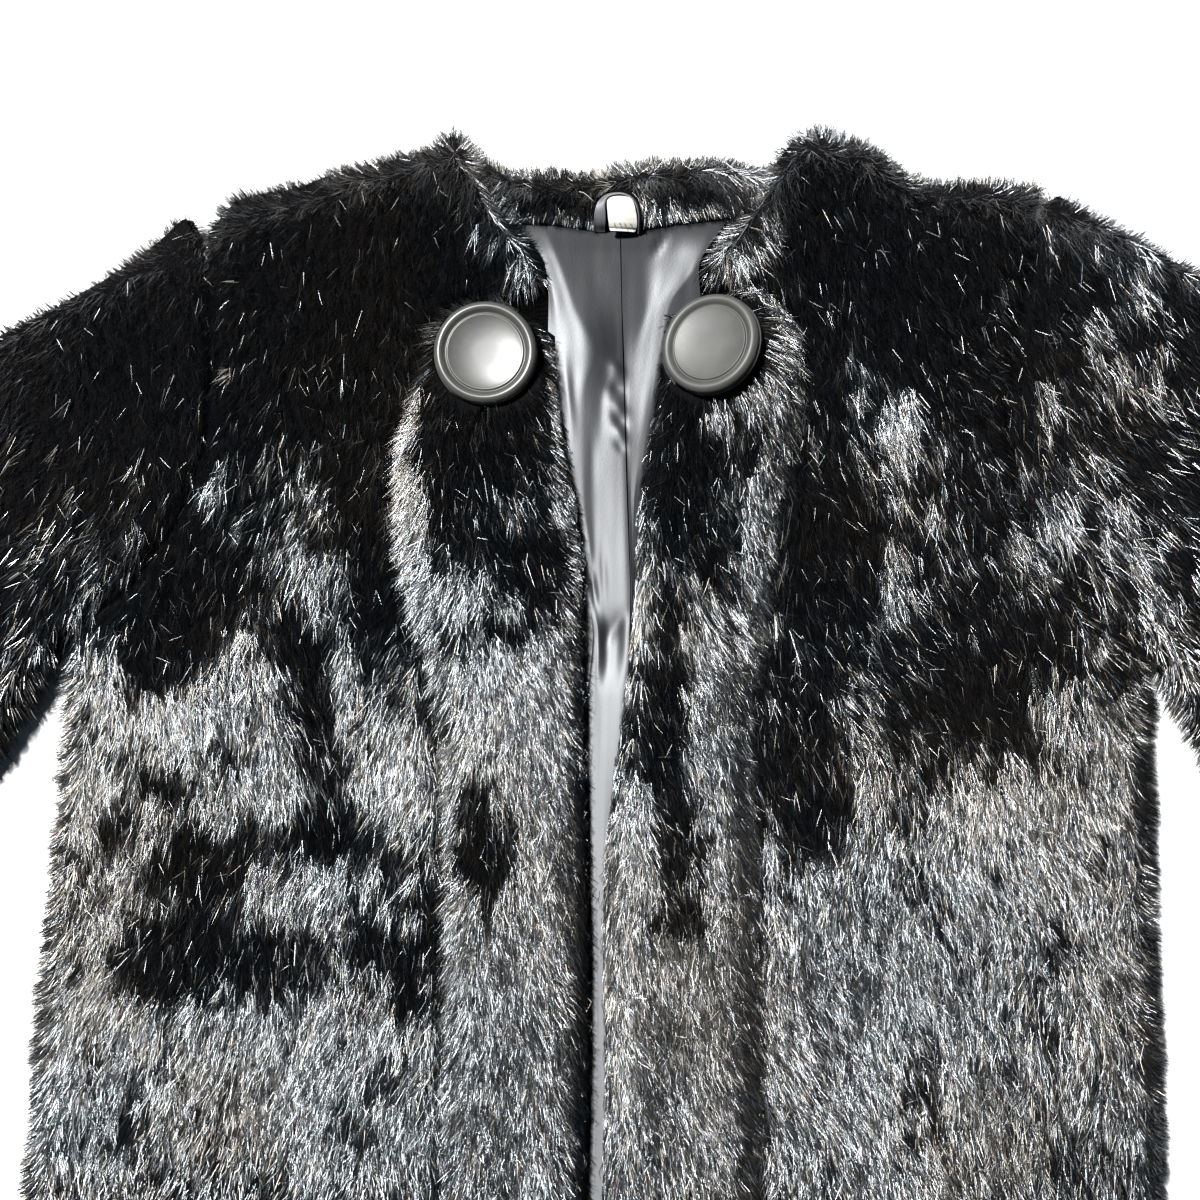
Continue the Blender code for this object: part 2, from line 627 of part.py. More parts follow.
LABEL_ROWS = [
    # drop, left and right edge: a small tab that leans a little inside the loop
    (34.6, -3.6, -0.2), (35.2, -4.9, 2.0), (36.7, -5.6, 4.0), (39.4, -6.2, 5.7),
    (43.5, -6.1, 7.4), (45.8, -5.7, 8.0), (47.6, -5.3, 6.8),
]
LABEL_THICKNESS = 0.8


def make_neck_label(material):
    """The small blank tab inside the loop: the neck band's points, moved out."""
    bm = bmesh.new()
    upper, lower = [], []
    for drop, left_edge, right_edge in LABEL_ROWS:
        xs = np.linspace(left_edge, right_edge, 6)
        lower.append([bm.verts.new(place(*over_neck_band(x, drop, 0.5))) for x in xs])
        upper.append([bm.verts.new(place(*over_neck_band(x, drop, 0.5 + LABEL_THICKNESS)))
                      for x in xs])
    close_sheet(bm, upper, lower)
    return new_object("neck_label", bm, material)


def main():
    clear_scene()
    fur = finish("black fur", (0.012, 0.012, 0.016), 0.45)
    satin = finish("black satin", (0.05, 0.05, 0.058), 0.32)
    pewter = finish("pewter lacquer", (0.32, 0.33, 0.34), 0.3, 0.6)
    ribbon = finish("grey ribbon", (0.18, 0.18, 0.19), 0.4)
    label = finish("white tab", (0.8, 0.79, 0.76), 0.6)
    right, left = side_edges(RIGHT), side_edges(LEFT)
    make_back(right, left, fur)
    make_neck_band(fur)
    for side, cut, edges, sign in (("right", RIGHT, right, RIGHT_SIGN),
                                   ("left", LEFT, left, LEFT_SIGN)):
        make_front(side, cut, edges, sign, fur)
        make_band(side, edges, sign, fur)
        make_sleeve(side, edges, sign, fur)
        make_lining(side, cut, sign, satin)
        make_button(f"{side}_button", pewter)
    make_hang_loop(ribbon)
    make_neck_label(label)


main()
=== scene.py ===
# %% [markdown]
# # A black fur coat, laid flat on its back
# This is a short collarless coat of dyed fur. Two raised bands run down its open
# front, each with one large round button, and between them lies the satin of the
# back lining, with a ribbon loop at the neck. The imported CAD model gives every
# piece its outline and its place. The lesson dresses that model: the solids say
# how far the fur reaches, and real strands are grown inside them.

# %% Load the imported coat
import math

import bmesh
import bpy
import numpy as np
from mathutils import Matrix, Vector
from mathutils.bvhtree import BVHTree


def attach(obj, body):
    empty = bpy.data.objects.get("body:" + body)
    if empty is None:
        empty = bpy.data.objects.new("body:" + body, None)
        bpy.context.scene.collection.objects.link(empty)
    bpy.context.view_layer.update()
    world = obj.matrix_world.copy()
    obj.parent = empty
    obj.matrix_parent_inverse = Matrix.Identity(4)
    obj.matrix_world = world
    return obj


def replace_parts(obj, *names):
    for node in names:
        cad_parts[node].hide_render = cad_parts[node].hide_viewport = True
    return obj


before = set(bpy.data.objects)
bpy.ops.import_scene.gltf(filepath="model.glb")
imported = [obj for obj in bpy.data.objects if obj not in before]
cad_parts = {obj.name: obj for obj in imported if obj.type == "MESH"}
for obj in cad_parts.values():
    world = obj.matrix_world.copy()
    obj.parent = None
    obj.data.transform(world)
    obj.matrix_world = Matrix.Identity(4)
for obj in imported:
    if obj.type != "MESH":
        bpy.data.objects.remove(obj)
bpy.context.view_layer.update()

# %% Names for measures
MM = 0.001
COAT_LENGTH = 720.0                   # neck points to hem, in millimetres
MID_DROP = COAT_LENGTH / 2            # a drop is measured down from the neck points
SIDES = {"right": -1, "left": 1}      # the wearer's, and the sign of x on each


def place(x, drop, z):
    """Coat millimetres to a point in the world, in metres."""
    return Vector((x * MM, (MID_DROP - drop) * MM, z * MM))


# %% Where the buttons sit and where the lining is sewn on
BUTTONS = {
    # x, drop, height of the seat, tilt and heading in degrees
    "right_button": (-63.4, 111.4, 25.8, 5.0, 110.0),
    "left_button": (46.3, 104.7, 27.3, 29.0, 155.0),
}
FLAT_LINING = 12.5        # height of the flat lining
NECK_FOOT = [(-52, 46.4), (-32, 46.5), (-15, 48.5), (9, 48), (28, 44.5), (57, 40.4)]

# %% [markdown]
# ## Camera, floor and light
# A garment on a floor is easiest to judge from straight above, so the camera
# looks down the Z axis. A camera's frame is as wide as sensor / lens times the
# distance, which gives the lens for a wanted width. One sun lamp with a small
# disc makes crisp highlights on the hair, and a dim world fills the shadows.

# %% Camera
SENSOR = 36.0
VIEW_WIDTH = 0.5769       # metres across the frame, at the top of the fur
FUR_LEVEL = 0.030
VIEW_DISTANCE = 1.0
VIEW_MIDDLE = (-0.0050, 0.1314)
VIEW_TURN = 0.0281        # the coat lies 1.6 degrees askew

camera_data = bpy.data.cameras.new("camera")
camera_data.sensor_width = SENSOR
camera_data.lens = SENSOR * VIEW_DISTANCE / VIEW_WIDTH
camera = bpy.data.objects.new("camera", camera_data)
camera.location = (*VIEW_MIDDLE, FUR_LEVEL + VIEW_DISTANCE)
camera.rotation_euler = (0, 0, VIEW_TURN)
bpy.context.scene.collection.objects.link(camera)
bpy.context.scene.camera = camera
print("lens:", round(camera_data.lens, 1), "mm")

# %% Light
SUN_FROM = (-0.38, 0.38, 0.84)
SUN_STRENGTH = 16.0
SUN_DISC = math.radians(6)
WORLD_LIGHT = 0.05
SKY = (0.50, 0.74, 1.0, 1)

sun_data = bpy.data.lights.new("sun", "SUN")
sun_data.energy = SUN_STRENGTH
sun_data.angle = SUN_DISC
sun = bpy.data.objects.new("sun", sun_data)
sun.rotation_euler = Vector(SUN_FROM).to_track_quat("Z", "Y").to_euler()
bpy.context.scene.collection.objects.link(sun)

world = bpy.data.worlds.new("soft room")
world.use_nodes = True
world.node_tree.nodes["Background"].inputs["Color"].default_value = SKY
world.node_tree.nodes["Background"].inputs["Strength"].default_value = WORLD_LIGHT
bpy.context.scene.world = world
bpy.context.scene.view_settings.view_transform = "Standard"

# %% [markdown]
# ## Shared shader effects
# A shader node group is a small machine with named inputs and outputs. Two are
# shared here: a fine crossed weave for the cloth pieces, and a mottle of blotches
# for everything that was dyed. Groups hand out masks and heights only, and the
# Principled BSDF stays in each material, where an exporter can read it.

# %% Helpers for node groups and materials
SOCKET = {"value": "NodeSocketFloat", "colour": "NodeSocketColor"}


def node_group(name, inputs, outputs):
    """An empty shader group with its sockets, and its two end nodes."""
    group = bpy.data.node_groups.new(name, "ShaderNodeTree")
    for label, start in inputs.items():
        socket = group.interface.new_socket(label, in_out="INPUT", socket_type=SOCKET["value"])
        socket.default_value = start
    for label, kind in outputs.items():
        group.interface.new_socket(label, in_out="OUTPUT", socket_type=SOCKET[kind])
    entry = group.nodes.new("NodeGroupInput")
    leave = group.nodes.new("NodeGroupOutput")
    return group, entry, leave


def add(tree, kind, **settings):
    """A new node with its properties and plain input values set."""
    node = tree.nodes.new(kind)
    for name, value in settings.items():
        if name in node.inputs:
            node.inputs[name].default_value = value
        else:
            setattr(node, name, value)
    return node


def new_material(name, color, roughness, **plain):
    """A Principled material with plain values on the shader's own sockets."""
    material = bpy.data.materials.new(name)
    material.use_nodes = True
    shader = material.node_tree.nodes["Principled BSDF"]
    shader.inputs["Base Color"].default_value = (*color, 1)
    shader.inputs["Roughness"].default_value = roughness
    for socket, value in plain.items():
        shader.inputs[socket.replace("_", " ")].default_value = value
    return material, shader


# %% Mottle group
mottle, entry, leave = node_group(
    "dye mottle", {"Scale": 60.0, "Detail": 3.0}, {"Mask": "value", "Fine": "value"})
position = add(mottle, "ShaderNodeTexCoord")
cloud = add(mottle, "ShaderNodeTexNoise")
fine = add(mottle, "ShaderNodeTexNoise", Scale=900.0, Detail=2.0)
mottle.links.new(position.outputs["Object"], cloud.inputs["Vector"])
mottle.links.new(position.outputs["Object"], fine.inputs["Vector"])
mottle.links.new(entry.outputs["Scale"], cloud.inputs["Scale"])
mottle.links.new(entry.outputs["Detail"], cloud.inputs["Detail"])
mottle.links.new(cloud.outputs["Fac"], leave.inputs["Mask"])
mottle.links.new(fine.outputs["Fac"], leave.inputs["Fine"])
print("group:", mottle.name, "with", len(mottle.nodes), "nodes")

# %% Weave group
weave, entry, leave = node_group(
    "fine weave", {"Threads": 2200.0, "Cross": 0.35}, {"Height": "value"})
position = add(weave, "ShaderNodeTexCoord")
warp = add(weave, "ShaderNodeTexWave", bands_direction="X", Distortion=0.6)
weft = add(weave, "ShaderNodeTexWave", bands_direction="Y", Distortion=0.6)
blend = add(weave, "ShaderNodeMix", data_type="FLOAT")
for thread in (warp, weft):
    weave.links.new(position.outputs["Object"], thread.inputs["Vector"])
    weave.links.new(entry.outputs["Threads"], thread.inputs["Scale"])
weave.links.new(entry.outputs["Cross"], blend.inputs[0])
weave.links.new(warp.outputs["Fac"], blend.inputs[2])
weave.links.new(weft.outputs["Fac"], blend.inputs[3])
weave.links.new(blend.outputs[0], leave.inputs["Height"])
print("group:", weave.name, "with", len(weave.nodes), "nodes")


# %% Wire a group into a material
def group_node(material, group, **values):
    node = material.node_tree.nodes.new("ShaderNodeGroup")
    node.node_tree = group
    for name, value in values.items():
        node.inputs[name].default_value = value
    return node


def shade_between(material, shader, mask, low, high):
    """The base colour runs from low to high with a mask."""
    mix = add(material.node_tree, "ShaderNodeMix", data_type="RGBA")
    mix.inputs[6].default_value = (*low, 1)
    mix.inputs[7].default_value = (*high, 1)
    material.node_tree.links.new(mask, mix.inputs[0])
    material.node_tree.links.new(mix.outputs[2], shader.inputs["Base Color"])


def rough_between(material, shader, mask, low, high):
    """The roughness runs from low to high with a mask."""
    span = add(material.node_tree, "ShaderNodeMapRange")
    span.inputs["To Min"].default_value = low
    span.inputs["To Max"].default_value = high
    material.node_tree.links.new(mask, span.inputs["Value"])
    material.node_tree.links.new(span.outputs["Result"], shader.inputs["Roughness"])


def raise_by(material, shader, height, distance, strength=1.0, first=None):
    """A bump of so many metres; first is a bump that it adds to."""
    bump = add(material.node_tree, "ShaderNodeBump", Strength=strength, Distance=distance)
    material.node_tree.links.new(height, bump.inputs["Height"])
    if first is not None:
        material.node_tree.links.new(first.outputs["Normal"], bump.inputs["Normal"])
    material.node_tree.links.new(bump.outputs["Normal"], shader.inputs["Normal"])
    return bump


# %% [markdown]
# ## Floor
# The coat lies on a plain pale sheet. It is only a stage, so it is not attached to
# the coat like the pieces are.

# %% Floor
FLOOR_REACH = 7.0         # metres from the middle to each side
FLOOR_CORNERS = [(-1, -1), (1, -1), (1, 1), (-1, 1)]
floor_mesh = bpy.data.meshes.new("floor")
floor_mesh.from_pydata([(a * FLOOR_REACH, b * FLOOR_REACH, -MM) for a, b in FLOOR_CORNERS],
                       [], [(0, 1, 2, 3)])
floor = bpy.data.objects.new("floor", floor_mesh)
bpy.context.scene.collection.objects.link(floor)
paper, _ = new_material("white paper", (0.93, 0.93, 0.93), 0.8)
floor_mesh.materials.append(paper)

# %% [markdown]
# ## Pelts
# Under the long hair lies the skin with its dense short underfur, which is seen
# only as black depth between the tufts. Each pelt is its own solid drawn in by
# the length of the hair, so it keeps the solid's form and folds. The solid's
# mesh arrives with every triangle loose, so its points are merged first.

# %% Underfur material
underfur, underfur_shader = new_material("underfur", (0.001, 0.001, 0.0013), 0.95,
                                         Specular_IOR_Level=0.05)
blotches = group_node(underfur, mottle, Scale=90.0)
shade_between(underfur, underfur_shader, blotches.outputs["Mask"],
              (0.0006, 0.0006, 0.0009), (0.0022, 0.0021, 0.0024))
raise_by(underfur, underfur_shader, blotches.outputs["Fine"], 0.0012)


# %% Read a solid
def welded(node):
    """The node's mesh with its loose triangles merged, as a bmesh."""
    bm = bmesh.new()
    bm.from_mesh(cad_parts[node].data)
    bmesh.ops.remove_doubles(bm, verts=bm.verts, dist=2e-6)
    bmesh.ops.triangulate(bm, faces=bm.faces)
    bmesh.ops.recalc_face_normals(bm, faces=bm.faces)
    bm.normal_update()
    bm.verts.index_update()
    return bm


def mesh_from(bm, name, sharp=None):
    """A smooth mesh from a bmesh; edges steeper than sharp, in degrees, stay crisp."""
    mesh = bpy.data.meshes.new(name)
    bm.to_mesh(mesh)
    bm.free()
    mesh.shade_smooth()
    if sharp is not None:
        mesh.set_sharp_from_angle(angle=math.radians(sharp))
    return mesh


def new_piece(name, mesh, slot, *materials):
    """An object that belongs to the coat and rides with it."""
    for material in materials:
        mesh.materials.append(material)
    piece = bpy.data.objects.new(name, mesh)
    bpy.context.scene.collection.objects.link(piece)
    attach(piece, "root")
    return piece


# %% Level ground at seams and round the buttons
# Where two pelts are sewn together the hair hides the seam, so there the ground
# counts as level. At a free edge it keeps its slope and the hair falls over it.
BESIDE = {
    "right_front": ["right_sleeve_top", "right_front_band"],
    "left_front": ["left_sleeve_top", "left_front_band"],
    "right_sleeve_top": ["right_front"],
    "left_sleeve_top": ["left_front"],
    "right_front_band": ["right_front"],
    "left_front_band": ["left_front"],
    "back_neck_band": ["right_front", "left_front"],
}
SEAM_REACH, SEAM_FADE = 9.0, 3        # an edge this near to the next piece is a seam, in mm
BUTTON_REACH, BUTTON_FADE = 36.0, 4
LEVELLED = 0.85           # how far the ground counts as level at a seam
UP = np.array([0.0, 0.0, 1.0])


def tree_of(nodes):
    """A search tree of the triangles of several solids."""
    points, faces = [], []
    for node in nodes:
        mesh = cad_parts[node].data
        faces += [[len(points) + corner for corner in face.vertices] for face in mesh.polygons]
        points += [vertex.co.copy() for vertex in mesh.vertices]
    return BVHTree.FromPolygons(points, faces)


beside = {node: tree_of(others) for node, others in BESIDE.items()}


def unit(v):
    return v / np.linalg.norm(v, axis=1)[:, None]


def seam_share(node, points):
    """From 0 to 1, how near a seam each point (in mm) lies."""
    if node not in beside:
        return np.zeros(len(points))
    gaps = [beside[node].find_nearest(Vector(p) * MM, SEAM_REACH * MM)[3] for p in points]
    shares = [0.0 if gap is None else (SEAM_REACH - gap / MM) / SEAM_FADE for gap in gaps]
    return np.clip(shares, 0, 1)


def level_share(node, points):
    """From 0 to 1, how far the ground at each point (in mm) counts as level."""
    share = seam_share(node, points)
    for x, drop, *_ in BUTTONS.values():
        away = np.hypot(points[:, 0] - x, MID_DROP - points[:, 1] - drop)
        share = np.maximum(share, (BUTTON_REACH - away) / BUTTON_FADE)
    return np.clip(share, 0, 1)


def levelled(normals, share):
    level = LEVELLED * share[:, None]
    return unit(normals * (1 - level) + UP * level)


# %% Draw a pelt in from its solid
UNDERSIDE = 0.8           # the pelt comes this close to the face it lies on
FACES_DOWN = -0.6         # a normal with less rise than this belongs to that face
EDGE_DRAWN = 0.45         # how much less it draws in sideways than downwards


def pelt(node, depth):
    bm = welded(node)
    points = np.array([v.co for v in bm.verts]) / MM
    normals = np.array([v.normal for v in bm.verts])
    ground = levelled(normals, level_share(node, points)) * [EDGE_DRAWN, EDGE_DRAWN, 1] * depth
    under = normals[:, 2] <= FACES_DOWN
    ground[under] = normals[under] * UNDERSIDE
    for v, inward in zip(bm.verts, ground * MM):
        v.co -= Vector(inward)
    name = f"{node}_pelt"
    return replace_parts(new_piece(name, mesh_from(bm, name), "fur", underfur), node)


# %% Make the pelts and say what each was cut to
# node: depth of the hair in mm, width and length of the cut in metres, its area,
# and what it lies on
PELTS = {
    "back_panel": (4.0, 0.58, 0.72, 0.367, []),
    "right_sleeve_under": (4.0, 0.16, 0.60, 0.078, []),
    "left_sleeve_under": (4.0, 0.18, 0.62, 0.086, []),
    "right_front": (5.5, 0.23, 0.73, 0.130, ["back_panel"]),
    "left_front": (5.5, 0.23, 0.73, 0.134, ["back_panel"]),
    "right_sleeve_top": (5.5, 0.17, 0.61, 0.084, ["right_sleeve_under"]),
    "left_sleeve_top": (5.5, 0.18, 0.63, 0.093, ["left_sleeve_under"]),
    "right_front_band": (5.0, 0.10, 0.66, 0.050, ["right_back_lining", "back_panel"]),
    "left_front_band": (5.0, 0.10, 0.66, 0.050, ["left_back_lining", "back_panel"]),
    "back_neck_band": (3.0, 0.14, 0.04, 0.0040, ["back_panel"]),
}
pelts = {node: pelt(node, cut[0]) for node, cut in PELTS.items()}
print("pelts:", {name: len(piece.data.polygons) for name, piece in pelts.items()})

# %% [markdown]
# ## How the fur lies
# Fur shines where the hairs lie flat enough to mirror the lamp up to the eye, and
# it goes black where they stand up towards the eye. So the pattern of dark and
# silver patches on a fur coat is a map of how the hair was brushed. Here that map
# is a list of patches over a slowly changing noise, and a second
# field gives the way that the hair runs.

# %% Smooth noise and tufts
TABLE = 256


def soft_noise(x, y, size, seed):
    """Smooth values from -1 to 1 that change over about one size."""
    table = np.random.default_rng(seed).uniform(-1, 1, (TABLE, TABLE))
    u, v = x / size, y / size
    i, j = np.floor(u).astype(int), np.floor(v).astype(int)
    a, b = u - i, v - j
    a, b = a * a * (3 - 2 * a), b * b * (3 - 2 * b)
    i, j, i2, j2 = i % TABLE, j % TABLE, (i + 1) % TABLE, (j + 1) % TABLE
    return ((table[i, j] * (1 - a) + table[i2, j] * a) * (1 - b)
            + (table[i, j2] * (1 - a) + table[i2, j2] * a) * b)


def nearest_tuft(x, y, size, seed):
    """The middle of the tuft that each hair belongs to, and the tuft's number."""
    shift = np.random.default_rng(seed).uniform(0.08, 0.92, (2, TABLE, TABLE))
    i, j = np.floor(x / size).astype(int), np.floor(y / size).astype(int)
    best = np.full(x.shape, np.inf)
    middle_x, middle_y = x.copy(), y.copy()
    number = np.zeros(x.shape, int)
    for di in (-1, 0, 1):
        for dj in (-1, 0, 1):
            a, b = (i + di) % TABLE, (j + dj) % TABLE
            px = (i + di + shift[0, a, b]) * size
            py = (j + dj + shift[1, a, b]) * size
            gap = (px - x) ** 2 + (py - y) ** 2
            nearer = gap < best
            best = np.where(nearer, gap, best)
            middle_x = np.where(nearer, px, middle_x)
            middle_y = np.where(nearer, py, middle_y)
            number = np.where(nearer, a * TABLE + b, number)
    return middle_x, middle_y, number


# %% Patches of flat and standing hair
# Each is x, drop, half width, half length, turn in degrees, and how much flatter
# (above zero, so it shines) or steeper (below zero, so it is black) the hair is.
PATCHES = {
    "right": [
        (-232, 112, 36, 48, 0, -0.9), (-153, 84, 82, 56, 0, -1.3), (-190, 176, 16, 8, 0, 0.25),
        (-203, 214, 24, 20, 0, -0.8), (-150, 215, 11, 22, 0, 0.35), (-126, 190, 12, 46, 0, -0.5),
        (-178, 266, 12, 32, 0, 0.5), (-146, 275, 10, 36, 10, -0.6), (-124, 273, 9, 12, 0, 0.4),
        (-115, 232, 6, 34, 0, -0.7), (-217, 256, 18, 18, 0, -0.6), (-214, 290, 20, 11, 0, 0.5),
        (-198, 318, 20, 11, 0, -0.6), (-158, 322, 14, 8, 0, 0.5), (-137, 340, 23, 15, 0, -1.1),
        (-97, 315, 11, 38, 0, 0.4), (-198, 356, 26, 18, 0, -0.9), (-180, 402, 46, 17, 0, -1.2),
        (-121, 371, 7, 14, 0, -0.5), (-98, 392, 18, 9, 0, -1.0), (-90, 414, 8, 16, 0, -1.0),
        (-57, 46, 16, 40, 36, 0.75), (-172, 42, 18, 12, 0, 0.5), (-128, 26, 18, 8, 0, 0.5),
        (-178, 178, 44, 20, 0, -0.25),
    ],
    "right_front_band": [
        (-90, 98, 5, 14, 20, 0.4), (-55, 75, 21, 9, 0, 0.9), (-31, 112, 6, 32, 0, 0.4),
        (-100, 180, 8, 36, 3, 0.9), (-97, 238, 8, 24, 0, 0.7), (-58, 156, 28, 26, 0, -0.5),
        (-45, 180, 19, 4, 0, 0.5), (-33, 210, 16, 22, 0, -1.2), (-75, 222, 10, 9, 0, 0.5),
        (-50, 243, 24, 5, 0, -0.5), (-46, 272, 30, 22, 0, 0.4), (-83, 278, 5, 26, 18, -1.0),
        (-56, 334, 17, 22, 20, -0.8), (-60, 362, 13, 20, 0, -0.75), (-25, 330, 10, 48, 0, 0.4),
    ],
    "left_front_band": [
        (22, 92, 5, 12, 0, 0.5), (82, 92, 6, 24, 0, 0.5), (60, 76, 20, 4, 0, 0.4),
        (44, 160, 26, 36, 0, -0.4), (80, 178, 8, 50, -7, 1.1), (40, 212, 16, 26, 0, -0.4),
        (26, 280, 16, 32, 0, -0.95), (52, 282, 8, 24, 20, 0.9), (63, 330, 8, 30, 8, 0.9),
        (66, 378, 8, 24, 0, 0.8), (18, 338, 9, 16, 0, 0.5), (38, 345, 14, 28, 0, -0.8),
        (34, 378, 19, 14, 0, -0.8), (45, 394, 26, 6, -20, 0.6),
    ],
    "left": [
        (125, 52, 48, 34, 0, -1.2), (139, 133, 12, 12, 0, 0.7), (174, 103, 34, 29, 0, -1.0),
        (213, 126, 7, 7, 0, 0.5), (100, 190, 19, 62, 0, -0.45), (134, 206, 5, 24, 0, 0.6),
        (129, 190, 10, 17, 0, -0.4), (126, 262, 6, 20, 0, 0.5), (171, 256, 38, 42, 0, -1.5),
        (206, 203, 14, 14, 0, 0.4), (206, 272, 12, 16, 0, 0.4), (190, 317, 29, 22, 25, 0.5),
        (93, 290, 18, 32, 0, -1.0), (104, 330, 20, 17, 0, -1.1), (118, 336, 7, 7, 0, 0.4),
        (145, 345, 10, 7, 0, -0.6), (216, 391, 7, 24, 0, -0.5), (58, 46, 13, 32, -42, 0.6),
    ],
    "back_neck_band": [
        (-34, 44, 22, 6, 0, 1.0), (-53, 36, 6, 8, 0, 0.6), (24, 43, 22, 5, 0, 0.9),
        (40, 17, 26, 6, 0, 0.9), (-30, 18, 26, 5, 0, 0.6), (10, 30, 5, 14, 0, 0.8),
        (28, 30, 14, 5, 0, -0.3), (-33, 30, 16, 5, 0, -0.4),
    ],
}
PATCH_STRENGTH = 1.4      # one factor on all the patches
PATCH_REACH, PATCH_EDGE = 1.15, 1.25  # they reach further and end more crisply than a bell


# %% Directions of a turned spot, and noise in layers
def turned_axes(x, drop, spot_x, spot_drop, turn):
    """How far across and along a turned spot each place lies, in mm."""
    s, c = math.sin(math.radians(turn)), math.cos(math.radians(turn))
    x, drop = x - spot_x, drop - spot_drop
    return x * c - drop * s, x * s + drop * c


def layered_noise(layers, x, drop):
    """A sum of noises; a layer is strength, speed across and along, size in mm, seed."""
    return sum(strength * soft_noise(x * across, drop * along, size, seed)
               for strength, across, along, size, seed in layers)


def patch_sum(node, x, drop):
    """The patches of a band, of the neck band, or of all else on one side of the coat."""
    ragged_x = x + 6 * soft_noise(x, drop, 16, 15) + 3 * soft_noise(x, drop, 6, 16)
    ragged_drop = drop + 8 * soft_noise(x, drop, 16, 17) + 4 * soft_noise(x, drop, 6, 18)
    total = np.zeros(x.shape)
    patches = PATCHES.get(node, PATCHES.get(node.split("_")[0], []))
    for px, pd, half_width, half_length, turn, amount in patches:
        across, along = turned_axes(ragged_x, ragged_drop, px, pd, turn)
        bell = (across / half_width) ** 2 + (along / half_length) ** 2
        total += amount * np.exp(-(bell / PATCH_REACH) ** PATCH_EDGE)
    return PATCH_STRENGTH * total


# %% How flat the hair lies, from 0 for standing up to 1 for brushed flat
FLAT_BY_DROP = ((0, 0.22), (120, 0.28), (190, 0.48), (260, 0.62), (340, 0.80), (430, 0.92),
                (520, 0.70), (720, 0.58))
BAND_FLATTER = 0.28       # the bands lie this much flatter below their heads
BAND_FLATTER_FROM, BAND_FLATTER_FADE = 220, 60
LIE_NOISE = ((0.30, 1, 1, 46, 11), (0.44, 2.0, 1, 23, 12), (0.34, 1.7, 1, 11, 13),
             (0.30, 1.4, 1, 5.5, 14), (0.30, 1.5, 0.8, 2.8, 19))
CONTRAST = 3.7            # how sharply standing hair changes to flat hair


def flatness(node, x, drop):
    base = np.interp(drop, *zip(*FLAT_BY_DROP))
    if node.endswith("front_band"):
        base = base + BAND_FLATTER * np.clip((drop - BAND_FLATTER_FROM) / BAND_FLATTER_FADE, 0, 1)
    value = base + patch_sum(node, x, drop) + layered_noise(LIE_NOISE, x, drop)
    return 1 / (1 + np.exp(-CONTRAST * (value - 0.5)))


LIFT_FLAT, LIFT_UP = 11.0, 56.0       # degrees above the skin, brushed flat and standing
# How much flatter the hair lies at a seam, by the last word of the piece's name. Below
# zero it stands up against the next piece.
SEAM_FLATNESS = {"front": -0.45, "band": 0.25, "top": -0.2, "under": 0, "panel": 0}


def lift(node, x, drop, seam):
    """How steeply the hair stands, in degrees; seam says how near a seam is."""
    flat = np.clip(flatness(node, x, drop) + SEAM_FLATNESS[node.split("_")[-1]] * seam, 0, 1)
    return LIFT_UP + (LIFT_FLAT - LIFT_UP) * flat


# %% Which way the hair runs, in degrees from straight down towards +X
FRONT_TURN = 10
SLEEVE_TURN = 36.0
SLEEVE_FROM, SLEEVE_FADE = 190, 90    # where the sleeves begin to turn it, in mm from the middle
SWIRL = ((16, 1, 1, 52, 21), (12, 1, 1, 17, 22))
# At the edge with the lower x, in the middle and at the other edge of each band.
BAND_HEADINGS = {"right_front_band": (-20, 6, 30), "left_front_band": (4, 14, 24)}
BAND_STEP = 8.0


def band_edges(node):
    """Where a band's two edges run, cut from its solid every few millimetres."""
    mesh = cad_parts[node].data
    points = np.array([vertex.co for vertex in mesh.vertices]) / MM
    corners = points[np.array([list(face.vertices) for face in mesh.polygons])]
    levels = MID_DROP - points[:, 1]
    marks = np.arange(levels.min() + 2, levels.max() - 2, BAND_STEP)
    spans = []
    for mark in marks:
        level = MID_DROP - mark
        cuts = []
        for a, b in ((0, 1), (1, 2), (2, 0)):
            one, other = corners[:, a], corners[:, b]
            crosses = (one[:, 1] - level) * (other[:, 1] - level) < 0
            one, other = one[crosses], other[crosses]
            share = (level - one[:, 1]) / (other[:, 1] - one[:, 1])
            cuts.append(one[:, 0] + (other[:, 0] - one[:, 0]) * share)
        cuts = np.concatenate(cuts)
        spans.append((cuts.min(), cuts.max()))
    return marks, *np.array(spans).T


BAND_EDGES = {f"{side}_front_band": band_edges(f"{side}_front_band") for side in SIDES}
print("bands are cut at", len(BAND_EDGES["left_front_band"][0]), "levels")


def heading(node, x, drop):
    swirl = layered_noise(SWIRL, x, drop)
    if node in BAND_EDGES:
        marks, low, high = BAND_EDGES[node]
        middle = np.interp(drop, marks, (low + high) / 2)
        share = (x - middle) / np.interp(drop, marks, (high - low) / 2)
        return np.interp(share, (-1, 0, 1), BAND_HEADINGS[node]) + 0.7 * swirl
    if "sleeve" in node:
        turned = np.clip((np.abs(x) - SLEEVE_FROM) / SLEEVE_FADE, 0, 1)
        return SLEEVE_TURN * np.sign(x) * turned + swirl
    if node == "back_neck_band":
        return 0.4 * x + 0.6 * swirl
    return FRONT_TURN * np.sign(x) + swirl


print("flatness at the chest:", flatness("right_front", np.array([-153.0]), np.array([88.0])))

# %% [markdown]
# ## Growing the strands
# Each strand is a thin blade that narrows to a point: one triangle for most, and
# three for those that curve. Its normals fan out across its width, so it shines
# like a round hair and not like a flat strip. Hairs lean together into tufts, so
# every strand takes its direction from the middle of its tuft and its tip is
# pulled towards it. The number of strands per area is highest where the coat is
# looked at most.

